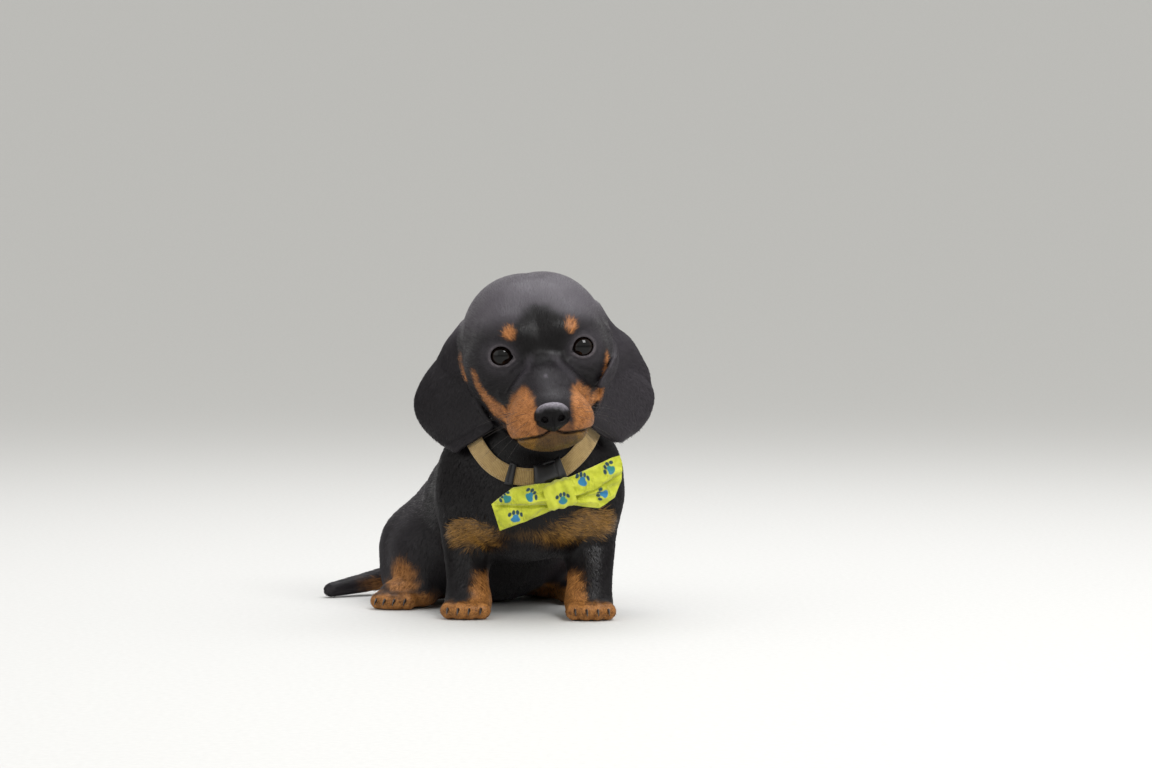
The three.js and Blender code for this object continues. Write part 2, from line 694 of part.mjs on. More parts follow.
// A wing of the bow is a puffed pocket of cloth with pleats that fan out from the knot.
function makeWing(side) {
  const s = SIDES[side];
  const rings = [];
  const around = 16;
  for (let i = 0; i <= 7; i++) {
    const u = i / 7;
    const x = s * lerp(KNOT[0] / 2 - 3, BOW_L / 2, u);
    const half = lerp(BOW_H.knot, BOW_H[side], Math.min(u * 1.3, 1) ** 0.7) / 2;
    const puff = 2 + 2.2 * Math.sin(Math.PI * Math.min(u * 0.8 + 0.2, 1));
    const ring = [];
    for (let j = 0; j < around; j++) {
      const angle = (j / around) * 2 * Math.PI;
      const w = Math.sin(angle);
      const pleat = 1 + 0.35 * (1 - u) * Math.cos(w * Math.PI * 3);
      const depth = puff * Math.cos(angle) * pleat;
      const corner = w * s < 0 ? 0.45 * Math.max((u - 0.55) / 0.45, 0) ** 1.5 : 0;
      const rise = half * w * (1 - corner) - BOW_DROOP * Math.abs(x);
      ring.push([x + s * 1.2 * (1 - w * w) * u, depth - 0.5, rise]);
    }
    rings.push(ring.map((p) => new THREE.Vector3(...p).applyMatrix4(BOW_FRAME).toArray()));
  }
  return loft(rings);
}

// The knot is a rounded band of the same cloth, wider at its middle.
function makeKnot(g = 0) {
  const rings = [];
  const [w, d, h] = KNOT.map((k) => k + 2 * g);
  for (let i = 0; i <= 6; i++) {
    const u = i / 3 - 1;
    const ring = [];
    for (let j = 0; j < 16; j++) {
      const angle = ((j + 0.5) / 16) * 2 * Math.PI;
      const [c, t] = [Math.cos(angle), Math.sin(angle)];
      const round = (c ** 4 + t ** 4) ** -0.25;
      const swell = 1 - 0.16 * u ** 4;
      ring.push([(u * w) / 2, (d / 2) * c * round * swell, (h / 2) * t * round * swell]);
    }
    rings.push(ring.map((p) => new THREE.Vector3(...p).applyMatrix4(BOW_FRAME).toArray()));
  }
  return loft(rings);
}

function makePaw(frame, size, keep, drop) {
  const [x, y] = new THREE.Vector3().setFromMatrixPosition(frame).toArray();
  let solid = piece([x - 22, y - 28, -4], [x + 22, y + 26, 24], PAW_CELL, keep, drop);
  for (const [, [tx, ty, tz]] of toes(size)) {
    const claw = new THREE.ConeGeometry(1.5, CLAW_L, 5);
    const lean = frameAt([tx, ty - 5.2, tz - 0.8], 0, 0, 118);
    solid = solid.add(solidOf(claw, frame.clone().multiply(lean).multiply(upright())));
  }
  return largest(solid.intersect(beyond([0, 0, 0], [0, 0, 1])));
}

// A cone of three.js, which points along +Y, stood up along +Z.
const upright = () => new THREE.Matrix4().makeRotationX(Math.PI / 2);

const parts = {};
parts.head = makeHead();
parts.lower_jaw = makeJaw();
parts.nose = makeNose();
parts.neck = piece([-55, -60, 55], [60, 70, 170], 6, [], [aboveNeck, belowNeck]);
const limbCuts = [foreleg, forepaw, hindleg, hindpaw].flatMap((cut) => names.map(cut));
const cuts = [tailCut, ...limbCuts];
parts.torso = piece([-90, -50, -7], [70, 140, 160], BODY_CELL, [belowNeck], cuts);
parts.tail = piece([-130, 85, -5], [-35, 140, 40], 4.4, [tailCut], []);
for (const side of names) {
  const x = SIDES[side] * LEG_OUT[side];
  const others = [hindleg(side), hindpaw(side)];
  parts[`ear_${side}`] = makeEar(side);
  parts[`eye_${side}`] = makeEye(side);
  parts[`foreleg_${side}`] = piece(
    [x - 28, -45, -4],
    [x + 28, 38, 66],
    LEG_CELL,
    [foreleg(side), belowNeck],
    [forepaw(side), ...others],
  );
  parts[`forepaw_${side}`] = makePaw(forepawFrame(side), PAW, [forepaw(side)], others);
  parts[`hindleg_${side}`] = piece(
    [-110, 20, -6],
    [60, 140, 80],
    BODY_CELL,
    [hindleg(side)],
    [hindpaw(side), tailCut],
  );
  parts[`hindpaw_${side}`] = makePaw(hindpawFrame(side), HINDPAW, [hindpaw(side)], []);
}
const [bx, by, bz] = BOW_AT;
const behind = solidOf(skinOf(flesh, [bx - 50, -55, bz - 30], [bx + 50, -5, bz + 40], 4, GAP));
const collarRoom = band(0, 360, -GAP, ON_WEB, COLLAR_W + 2 * GAP, COLLAR_STEPS);
const buckleRoom = band(1, 27, ON_WEB - GAP, ON_WEB + BUCKLE[0] + GAP, BUCKLE[1] + 2 * GAP, 7);
const sliderRoom = band(-19, -11, ON_WEB - GAP, ON_WEB + SLIDER[0] + GAP, SLIDER[1] + 2 * GAP, 2);
const rooms = [behind, collarRoom, buckleRoom, sliderRoom];
const fit = (solid) => rooms.reduce((rest, room) => rest.subtract(room), solid);
parts.collar = makeCollar();
parts.collar_buckle = makeBuckle();
parts.collar_slider = makeSlider();
parts.bow_knot = largest(fit(makeKnot()));
for (const side of names)
  parts[`bow_wing_${side}`] = largest(fit(makeWing(side)).subtract(makeKnot(GAP)));

const dog = new THREE.Group();
for (const [name, solid] of Object.entries(parts)) {
  const mesh = new THREE.Mesh(geometryOf(solid), new THREE.MeshStandardMaterial());
  mesh.name = name;
  dog.add(mesh);
}
// The part's origin is the middle of its box, on the floor.
const box = new THREE.Box3().setFromObject(dog);
dog.position.set(-(box.min.x + box.max.x) / 2, -(box.min.y + box.max.y) / 2, 0);
export default dog;
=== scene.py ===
# A dachshund puppy of about seven weeks, sitting, life size, in a webbing collar with a bow tie.
# The shape is worked out in millimetres in the dog's own frame: it faces -Y, its left is +X, and
# the floor is Z = 0. Meshes are turned to metres and moved to the frame's place at the very end.
import math

import bmesh
import bpy
import numpy as np
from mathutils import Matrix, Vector
from mathutils.bvhtree import BVHTree


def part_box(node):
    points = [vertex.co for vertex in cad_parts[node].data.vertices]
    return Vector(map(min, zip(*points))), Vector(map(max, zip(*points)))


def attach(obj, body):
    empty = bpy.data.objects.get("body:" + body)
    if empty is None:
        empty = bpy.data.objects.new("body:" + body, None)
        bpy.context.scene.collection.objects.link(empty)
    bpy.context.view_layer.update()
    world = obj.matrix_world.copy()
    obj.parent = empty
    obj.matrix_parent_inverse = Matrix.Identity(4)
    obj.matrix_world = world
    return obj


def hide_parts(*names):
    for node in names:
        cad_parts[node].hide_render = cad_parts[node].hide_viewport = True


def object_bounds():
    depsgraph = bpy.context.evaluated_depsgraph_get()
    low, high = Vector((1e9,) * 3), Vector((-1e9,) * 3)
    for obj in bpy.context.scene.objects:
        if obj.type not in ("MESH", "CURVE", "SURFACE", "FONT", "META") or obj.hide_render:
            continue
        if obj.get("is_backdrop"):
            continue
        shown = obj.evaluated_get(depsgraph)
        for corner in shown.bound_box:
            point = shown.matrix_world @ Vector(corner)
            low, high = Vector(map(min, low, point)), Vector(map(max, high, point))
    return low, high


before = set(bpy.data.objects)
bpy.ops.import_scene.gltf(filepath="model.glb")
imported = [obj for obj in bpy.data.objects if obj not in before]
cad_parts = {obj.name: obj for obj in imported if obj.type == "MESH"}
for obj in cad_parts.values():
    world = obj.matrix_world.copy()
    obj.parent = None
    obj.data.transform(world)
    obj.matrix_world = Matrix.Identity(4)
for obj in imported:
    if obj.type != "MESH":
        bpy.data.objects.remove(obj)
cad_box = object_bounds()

MM = 0.001
SEED = 7

# The dog, as in the CAD source
HEAD_AT = (2.6, -12, 152)
HEAD_ROLL = 6.5
HEAD_YAW = 5
SKULL = (39.2, 38.5, 37.8)
MUZZLE_L = 35
MUZZLE_W = 46.5
MOUTH_Z = -48.2
NOSE_AT = np.array([0, -SKULL[1] - MUZZLE_L + 6, -37.3])
EYE_R = 8
EYE_SPAN = 43.6
EYE_AT = (1.2, -26.6, -4.3)
EYE_YAW = 6
EYE_OPEN = (5.8, 5.4)
LID_T = 0.85
EYE_OUT = 0.33
EAR_T = 3.2
EAR_FRONT = 0.42
LEG_OUT = {"left": 32.8, "right": 34.3}
WRIST_R = {"left": 12.7, "right": 11.8}
PAW = (13.5, 17, 9)
HINDPAW = (12.5, 15, 8.5)
TOES = (-1.5, -0.5, 0.5, 1.5)
PELVIS_AT = (-31, 84, 40)
PELVIS_YAW = 22
FOREPAW_FORWARD = {"left": 6, "right": 0}
HINDPAW_AT = {"left": (27, 64), "right": (-76, 34)}
HINDPAW_YAW = {"left": 24, "right": -14}
SIDES = {"left": 1, "right": -1}
TAIL = (
    (-42, 107, 26, 11),
    (-57, 120, 17, 8.5),
    (-78, 121, 12, 7),
    (-100, 111, 7, 5.8),
    (-118, 98, 4.2, 4.4),
)
# The middle line of each ear from root to tip: x, y, z, half width, turn about the vertical
EARS = {
    "right": (
        (-36, -2, 161, 8, 80),
        (-43.5, -5, 148, 11, 62),
        (-46, -9, 132, 18, 45),
        (-46.2, -12, 118, 21.5, 34),
        (-44.3, -13, 106, 19, 30),
        (-40.3, -13.5, 96.5, 12.3, 28),
        (-37, -14, 90.5, 3, 28),
    ),
    "left": (
        (36, -5, 171, 8, 78),
        (43.2, -7, 158, 11, 66),
        (49.4, -10, 144, 17, 49),
        (53.2, -12, 128, 20.3, 38),
        (52.6, -13, 114, 18.7, 33),
        (51, -14, 104, 12.3, 30),
        (49.3, -14, 98, 3, 30),
    ),
}
COLLAR_AT = np.array([1.0, -40, 78.5])
COLLAR_SLOPE = math.radians(41)
COLLAR_W = 10
COLLAR_T = 1.8
COLLAR_SLACK = 2.5
WEB = 1.1
COLLAR_UP = np.array([0, -math.sin(COLLAR_SLOPE), math.cos(COLLAR_SLOPE)])
COLLAR_BACK = np.array([0, math.cos(COLLAR_SLOPE), math.sin(COLLAR_SLOPE)])
BOW_AT = (16.5, -44.5, 70)
KNOT = (16.5, 10.4, 15.2)
# Where the buckle and the slider sit on the webbing: the middle and half the length, in degrees
BUCKLE = (14, 12)
SLIDER = (-15, 3)
CLIP_GAP = 0.3

# The coat lies between the skin and the CAD solids' surface
COAT = 0.9
FACE_COAT = 0.45
# The hair of the face lies away from this place in front of the nose, in the head's frame
HAIR_FROM = np.array((0, -74, -33))
HEAD_CELL = 1.15
BODY_CELL = 2.0
NOSE_CELL = 0.4
CORNEA = 0.12
# The most that a point moves when a mesh is settled on its field, as a share of a cell
SETTLE = 0.5
# Threads, in millimetres from one to the next
RIB_PITCH = 0.95
WARP_PITCH = 0.8
COTTON_PITCH = 0.55
STITCH_ROW = 3.7
STITCH = {"Pitch": 0.0021, "Thread": 0.00034, "Share": 0.66}
BRISTLE = {"Sides": 5, "Thickness": 0.00013}
# The photograph's view: level with the dog's head, from two metres
CAMERA_AT = (25.6, -1950, 195)
CAMERA_DIP = 1.95
LENS = 109.4
SENSOR = 36
# Each lamp's name, place, size, power, colour and what it faces, in metres and watts
LAMPS = (
    ("overhead", (0.2, 0.35, 1.5), 1.4, 17, "#fbfbff", (0, 0.02, 0.1)),
    ("key", (0.75, -1.2, 1.35), 0.6, 17, "#ffffff", (0, 0, 0.1)),
    ("fill", (-1.3, -1.2, 0.8), 1.2, 3, "#ffffff", (0, 0, 0.1)),
)
SKY_COLOUR = "#f4f3f0"
SKY_STRENGTH = 0.95
# The floor's radius, the radius where it begins to rise, and how high it rises, in metres
FLOOR_R = 9
FLOOR_FLAT = 2.5
FLOOR_RISE = 1.6


def turn_matrix(yaw=0, roll=0, tilt=0):
    """Turns by tilt about X, then by -roll about Y, then by yaw about Z, in degrees."""
    a, b, c = (math.radians(v) for v in (yaw, -roll, tilt))
    about_z = np.array([[math.cos(a), -math.sin(a), 0], [math.sin(a), math.cos(a), 0], [0, 0, 1]])
    about_y = np.array([[math.cos(b), 0, math.sin(b)], [0, 1, 0], [-math.sin(b), 0, math.cos(b)]])
    about_x = np.array([[1, 0, 0], [0, math.cos(c), -math.sin(c)], [0, math.sin(c), math.cos(c)]])
    return about_z @ about_y @ about_x


class Place:
    """A frame of its own: into() takes the dog's points to it, out() brings them back."""

    def __init__(self, at, yaw=0, roll=0, tilt=0, inside=None):
        self.at = np.array(at, float)
        self.turn = turn_matrix(yaw, roll, tilt)
        if inside:
            self.at = inside.out(self.at)
            self.turn = inside.turn @ self.turn

    def into(self, p):
        return (p - self.at) @ self.turn

    def out(self, p):
        return np.asarray(p, float) @ self.turn.T + self.at

    def of(self, field):
        return lambda p: field(self.into(p))


HEAD = Place(HEAD_AT, HEAD_YAW, HEAD_ROLL)
PELVIS = Place(PELVIS_AT, PELVIS_YAW)
BOW = Place(BOW_AT, 3, 17.5, 10)
EYES = {
    side: Place((EYE_AT[0] + s * EYE_SPAN / 2, *EYE_AT[1:]), s * EYE_YAW, inside=HEAD)
    for side, s in SIDES.items()
}
low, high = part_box("eye_left")
SHIFT = (np.array(low) + np.array(high)) / 2 / MM - EYES["left"].at


# Fields: functions of N points at a time, below 0 inside and about the distance outside
def ellipsoid(centre, radii, yaw=0, tilt=0):
    """An ellipsoid, turned about Z by yaw and about X by tilt."""
    turn = turn_matrix(yaw) @ turn_matrix(tilt=tilt)
    radii = np.array(radii, float)

    def field(p):
        q = ((p - centre) @ turn) / radii
        k = np.sqrt((q * q).sum(1))
        slope = np.sqrt(((q / radii) ** 2).sum(1))
        return k * (k - 1) / np.maximum(slope, 1e-6)

    return field


def limb(a, ra, b, rb):
    """A tapered limb from a to b."""
    a, b = np.array(a, float), np.array(b, float)
    along = b - a

    def field(p):
        t = np.clip(((p - a) @ along) / (along @ along), 0, 1)
        return np.linalg.norm(p - a - t[:, None] * along, axis=1) - (ra + (rb - ra) * t)

    return field


def chain(*joints):
    """Limbs end to end: each joint is a place and a radius."""
    links = [limb(a[:3], a[3], b[:3], b[3]) for a, b in zip(joints, joints[1:])]
    return lambda p: np.min([f(p) for f in links], axis=0)


def soft_min(d, e, k):
    """Two fields as one, with a soft join about k wide."""
    h = np.maximum(k - np.abs(d - e), 0) / k
    return np.minimum(d, e) - h * h * k / 4


def soft_max(d, e, k):
    """What two fields share, with a soft edge about k wide."""
    return -soft_min(-d, -e, k)


def blend(k, *fields):
    """Several fields as one, with soft joins."""
    def field(p):
        d = fields[0](p)
        for f in fields[1:]:
            d = soft_min(d, f(p), k)
        return d

    return field


def paired(field):
    """The same on both sides of x = 0."""
    return lambda p: field(np.column_stack([np.abs(p[:, 0]), p[:, 1:]]))


def only(field, near):
    """A field worked out only where near says so, and far off elsewhere."""

    def part(p):
        d = np.full(len(p), 60.0)
        mask = near(p)
        if mask.any():
            d[mask] = field(p[mask])
        return d

    return part


def smooth(low, high, value):
    """0 at low, 1 at high, and a soft step between."""
    t = np.clip((value - low) / (high - low), 0, 1)
    return t * t * (3 - 2 * t)


def head_field():
    """The head without its ears, in its own frame."""
    skull = ellipsoid((0, 1, 0), SKULL)
    crown = paired(ellipsoid((10, 4, 5), (25, 30, 29.5)))
    brow = paired(ellipsoid((15.5, -25, 7), (12, 11, 9)))
    cheek_bone = paired(ellipsoid((25, -11, -15), (13, 17, 14)))
    orbit = paired(ellipsoid((24, -19, -6), (11.5, 12.5, 12)))
    cheek = paired(ellipsoid((17.5, -12, -29), (13.5, 19, 15)))
    muzzle_root = ellipsoid((0, -32, -25), (20, 20, 16))
    muzzle = ellipsoid((0, -51, -34), (18, 17, 13), 0, 12)
    bridge = limb((0, -34, -21), 11, (0, -61, -35), 8.5)
    lip = (MUZZLE_W / 2 - 11.7, 16, 10.3)
    lips = [ellipsoid((s * 12, -51, -41.3), lip, s * 8) for s in (-1, 1)]
    nose_base = ellipsoid((0, -60.5, -38.5), (11, 9, 9.5))
    chin = ellipsoid((0, -47, -49.5), (18, 17, 8.8))
    jaw = ellipsoid((0, -24, -42), (21, 24, 13))
    return blend(
        9,
        blend(12, skull, crown, brow, cheek_bone, orbit, cheek, jaw),
        blend(7, muzzle_root, muzzle, bridge, nose_base, chin),
        blend(3, *lips),
    )


def trunk_field():
    """The neck, the trunk and the pelvis."""
    neck = chain((3, 2, 134, 28), (2.5, 4, 112, 32), (1, 10, 88, 38))
    below = [
        ellipsoid((0, 5, 69), (44, 40, 39)),
        paired(ellipsoid((33, 12, 77), (18.5, 24, 25))),
        ellipsoid((0, -14, 62), (30, 22, 24)),
        ellipsoid((-16, 47, 57), (47, 42, 42), 20),
        ellipsoid((-22, 62, 34), (40, 36, 30), 20),
        ellipsoid(PELVIS_AT, (43, 36, 42), PELVIS_YAW),
    ]
    return blend(16, only(blend(16, *below), lambda p: p[:, 2] < 128), neck)


def toes(size):
    """The knuckle and the tip of each toe."""
    w, l, h = size
    return [
        ((i * w / 2.6, 0, h * 0.72), (i * w / 2.2, -l * 0.78 + abs(i) * 2.6, h * 0.53))
        for i in TOES
    ]


def paw_field(size):
    """A paw in its own frame, with its toes."""
    w, l, h = size
    pad = ellipsoid((0, 4, h - 1.5), (w * 0.93, l * 0.8, h + 1))
    return blend(2.5, pad, *[limb(a, 5.2, b, 5.1) for a, b in toes(size)])


FOREPAWS = {
    side: Place((s * LEG_OUT[side], -20 - FOREPAW_FORWARD[side], 0), s * 6)
    for side, s in SIDES.items()
}
HINDPAWS = {side: Place((*HINDPAW_AT[side], 0), HINDPAW_YAW[side]) for side in SIDES}
PAWS = (*FOREPAWS.values(), *HINDPAWS.values())


def foreleg_field(side):
    """A foreleg from the shoulder to its paw."""
    s, forward, out, wrist = SIDES[side], FOREPAW_FORWARD[side], LEG_OUT[side], WRIST_R[side]
    arm = chain(
        (s * 33, 3, 62, 17.5),
        (s * (out + 1), 6, 40, 14.2),
        (s * (out + 0.5), -5 - forward / 2, 22, wrist),
        (s * out, -12 - forward, 12, wrist - 0.5),
    )
    leg = blend(6, arm, FOREPAWS[side].of(paw_field(PAW)))
    return only(leg, lambda p: (p[:, 2] < 100) & (p[:, 0] * s > -10) & (p[:, 1] < 50))


def hindleg_field(side):
    """A hind leg: thigh, knee and shin in the pelvis's frame, and its paw."""
    s = SIDES[side]
    thigh = ellipsoid((s * 36, 0, -10), (20, 34, 27), s * -10)
    knee = ellipsoid((s * 41, -22, -8), (16, 19, 20), s * -12)
    shin = limb((s * 41, -24, -14), 14, (s * 39, 14, -27), 10)
    foot = limb((s * 40, 16, -29), 9.5, (s * 46, -34, -31), 8.5)
    leg = PELVIS.of(blend(12, thigh, knee, blend(8, shin, foot)))
    whole = blend(6, leg, HINDPAWS[side].of(paw_field(HINDPAW)))
    return only(whole, lambda p: (p[:, 2] < 90) & (p[:, 1] > 0))


trunk = trunk_field()
hindlegs = [hindleg_field(side) for side in SIDES]
forelegs = [foreleg_field(side) for side in SIDES]
tail = only(chain(*TAIL), lambda p: (p[:, 1] > 75) & (p[:, 2] < 60))
head = only(HEAD.of(head_field()), lambda p: (p[:, 2] > 80) & (p[:, 1] < 60))
body = blend(10, blend(10, trunk, *hindlegs), *forelegs, tail)
flesh = blend(8, body, head)


def slope_of(field, p, at_p, e=0.05):
    """The gradient of a field at points p, where its value is at_p."""
    return np.column_stack([(field(p + step) - at_p) / e for step in np.eye(3) * e])


# The ears
def through(list_, u):
    """A value along a list at u from 0 to 1, on a smooth curve through its entries."""
    along = np.clip(u, 0, 0.9999) * (len(list_) - 1)
    i = along.astype(int)
    t = along - i
    at = np.asarray(list_, float)
    last = len(at) - 1
    a, b, c, d = at[np.maximum(i - 1, 0)], at[i], at[i + 1], at[np.minimum(i + 2, last)]
    return b + 0.5 * t * (c - a + t * (2 * a - 5 * b + 4 * c - d + t * (3 * (b - c) + d - a)))


def ear_room(p):
    """How far the middle sheet of an ear stays off the flesh: more where it hangs over the collar."""
    over = np.clip((COLLAR_W / 2 + 7 - np.abs((p - COLLAR_AT) @ COLLAR_UP)) / 5, 0, 1)
    return EAR_T / 2 - 0.9 + over * (WEB + COLLAR_T + 2)


def clear(p, stays):
    """The points moved out of the flesh until there is room for the ear."""
    p = p.copy()
    for _ in range(4):
        f = flesh(p)
        lack = np.where(stays, 0, np.maximum(ear_room(p) - f, 0))
        g = slope_of(flesh, p, f)
        p += g / np.linalg.norm(g, axis=1)[:, None] * lack[:, None]
    return p


def ear_points(side, u, v):
    """Points of an ear's middle sheet: v runs from its front edge, -1, to its back edge, 1."""
    x, y, z, half, turn = (through([row[k] for row in EARS[side]], u) for k in range(5))
    s = SIDES[side]
    cup = 3.5 * (0.4 - v * v)
    wide = 1 + EAR_FRONT * smooth(0.08, 0.4, u) * smooth(0.98, 0.62, u) * (v < 0)
    reach = half * v * wide
    across, out = np.cos(np.radians(turn)), np.sin(np.radians(turn))
    p = np.column_stack(
        [x + s * (reach * across + cup * out), y + reach * out - cup * across, z + 3 * v * (1 - u)]
    )
    return clear(p, u < 0.12)


def ear_sheet(side):
    """The middle sheet of an ear as a grid, with a soft fold across it and rolls at its edges."""
    rows, columns = 44, 24
    u, v = np.meshgrid(np.linspace(0, 1, rows), np.linspace(-1, 1, columns), indexing="ij")
    u, v = u.ravel(), v.ravel()
    p = ear_points(side, u, v)
    out = ear_points(side, u, np.clip(v + 0.05, -1, 1)) - ear_points(side, u, np.clip(v - 0.05, -1, 1))
    down = ear_points(side, np.clip(u + 0.02, 0, 1), v) - ear_points(side, np.clip(u - 0.02, 0, 1), v)
    normal = np.cross(down, out) * SIDES[side]
    normal /= np.maximum(np.linalg.norm(normal, axis=1), 1e-6)[:, None]
    if side == "left":
        crease = np.exp(-(((u - 0.40 - 0.16 * v * v + 0.05 * v) / 0.05) ** 2))
        swell = np.exp(-(((u - 0.30 + 0.04 * v) / 0.08) ** 2))
        lift = 2.0 * swell - 2.2 * crease * smooth(-0.6, 0.3, v)
    else:
        crease = np.exp(-(((u - 0.30 + 0.06 * v) / 0.07) ** 2))
        swell = np.exp(-(((u - 0.55) / 0.16) ** 2))
        lift = 1.1 * swell - 1.3 * crease
    p += normal * (lift * smooth(0.12, 0.25, u))[:, None]
    k = np.arange((rows - 1) * columns).reshape(rows - 1, columns)[:, :-1].ravel()
    quads = np.column_stack([k, k + 1, k + columns + 1, k + columns])
    return p, quads


def sheet_distance(sheets):
    """The distance from points to the nearest of the sheets, worked out only near them."""
    trees = []
    for p, quads in sheets:
        tree = BVHTree.FromPolygons(p.tolist(), quads.tolist())
        trees.append((tree, p.min(0) - 9, p.max(0) + 9))

    def distance(p):
        d = np.full(len(p), 9.0)
        for tree, low, high in trees:
            near = np.nonzero(((p > low) & (p < high)).all(1))[0]
            find = tree.find_nearest
            found = [find(q)[3] for q in p[near].tolist()]
            d[near] = np.minimum(d[near], found)
        return d

    return distance


ear_distance = sheet_distance([ear_sheet(side) for side in SIDES])
EAR_ROOTS = {side: EARS[side][0][2] for side in SIDES}


# The face: lids, folds, the line of the mouth
# Folds of loose skin in the head's frame: the path, how deep and how wide
FOLDS = (
    (((13, -38.5, -9), (16, -37.5, -13), (18.7, -36.5, -16.3), (26.1, -30.6, -24.5)), 0.8, 1.5),
    (((-11, -41, -12), (-13.3, -40.2, -14.1), (-18.1, -38.8, -19.1), (-23, -34, -25)), 0.8, 1.5),
    (((17, -37, -12), (23, -33.5, -16.5), (30, -27, -19)), 0.6, 1.0),
    (((-17, -38.5, -14.5), (-24, -34, -18), (-30, -27, -20)), 0.6, 1.0),
    (((-21, -31, -31), (-23.5, -38, -38.5), (-21.5, -47, -46)), 0.7, 1.3),
    (((21.5, -31, -31), (24, -38, -38.5), (22, -47, -46)), 0.7, 1.3),
    (((-26, -20, -33), (-24, -27, -42), (-21.5, -33, -48.2)), 0.8, 1.6),
    (((26, -20, -33), (24.5, -27, -42), (22, -33, -48.2)), 0.8, 1.6),
    (((14, -35.5, 2.5), (20, -35.6, 5.4), (27, -31.5, 4.6)), 0.45, 0.9),
    (((-13, -36.5, 2.5), (-19, -36.6, 5.4), (-26, -32.5, 4.6)), 0.45, 0.9),
)
FOLD_FIELDS = [(chain(*[(*p, 0) for p in path]), deep, wide) for path, deep, wide in FOLDS]


def mouth_height(x):
    """The line of the mouth dips to each side of the furrow under the nose."""
    curl = np.where(x < 0, -0.0035, 0.001) * x * x
    return MOUTH_Z + 0.1 + 2.9 * np.exp(-(((x + 0.4) / 4) ** 2)) + curl


def eye_opening(q, s):
    """How far a point of an eye's own frame is outside the opening of its lids."""
    x, y, z = q[:, 0] * s, q[:, 1], q[:, 2]
    a, b = EYE_OPEN
    upper = np.where(z > 0, b, b * 0.94)
    ring = (np.hypot(x / a, z / upper) - 1) * b
    corner = (np.hypot((x + 4.9) / 1.4, (z + 1.1) / 0.9) - 1) * 0.9
    return np.maximum(soft_min(ring, corner, 1.6), y + 3.2)


def with_lids(p, d):
    """Wraps lids round the eyeballs and opens them."""
    for side, s in SIDES.items():
        near = np.linalg.norm(p - EYES[side].at, axis=1) < 19
        if not near.any():
            continue
        q = EYES[side].into(p[near])
        r = np.linalg.norm(q, axis=1)
        opening = eye_opening(q, s)
        thick = LID_T - 0.35 * smooth(1.6, 0.2, opening)
        e = soft_min(d[near], r - EYE_R - thick, 2.2)
        rim = np.exp(-(((opening - 1.1) / 0.9) ** 2)) * smooth(0, -4, q[:, 1])
        crease = np.exp(-(((opening - 3.0) / 0.8) ** 2)) * smooth(-2, -5, q[:, 1])
        d[near] = soft_max(e - 0.2 * rim + 0.3 * crease, -opening, 0.4)
    return d


def with_face(p, d):
    """Adds the folds of the face and the line of the mouth."""
    near = (p[:, 1] < 12) & (p[:, 2] > 85)
    q = HEAD.into(p[near])
    e = d[near]
    front = q[:, 1] < -18
    f = q[front]
    change = np.zeros(len(f))
    for field, deep, wide in FOLD_FIELDS:
        r = field(f) / wide
        change += deep * np.exp(-r * r) - deep * 0.45 * np.exp(-((r - 2.1) ** 2))
    below = mouth_height(f[:, 0]) - f[:, 2]
    reach = smooth(-29, -33, f[:, 1])
    change += reach * (0.9 * smooth(-0.4, 0.5, below) * smooth(12, 3, below))
    change += reach * 1.5 * np.exp(-((below / 0.75) ** 2))
    furrow = np.exp(-((f[:, 0] / 0.7) ** 2)) * smooth(-60, -62, f[:, 1]) * smooth(-38, -41, f[:, 2])
    change += 1.1 * furrow * smooth(1, -1, below)
    e[front] += change
    d[near] = e
    return d


def collar_height(p):
    """How far points are above the middle plane of the collar."""
    return (p - COLLAR_AT) @ COLLAR_UP


def head_skin(p):
    """The skin of the head and upper neck, with the ears."""
    d = with_lids(p, with_face(p, flesh(p) + FACE_COAT + 0.25 * smooth(-10, 30, p[:, 1])))
    d = np.maximum(d, -collar_height(p) - 1.5)
    ear = ear_distance(p) - EAR_T / 2 + FACE_COAT
    root = np.where(p[:, 0] > 0, EAR_ROOTS["left"], EAR_ROOTS["right"])
    drop = p[:, 2] - root
    k = 0.4 + 4.6 * smooth(-36, -18, drop) + 1.2 * smooth(-48, -36, drop) * smooth(-14, -18, p[:, 1])
    return soft_min(d, ear, k)


def body_skin(p):
    """The skin of the trunk, legs and tail."""
    d = flesh(p) + COAT - 0.4 * smooth(24, 14, p[:, 2])
    return np.maximum(np.maximum(d, collar_height(p) - 1.5), 0.3 - p[:, 2])


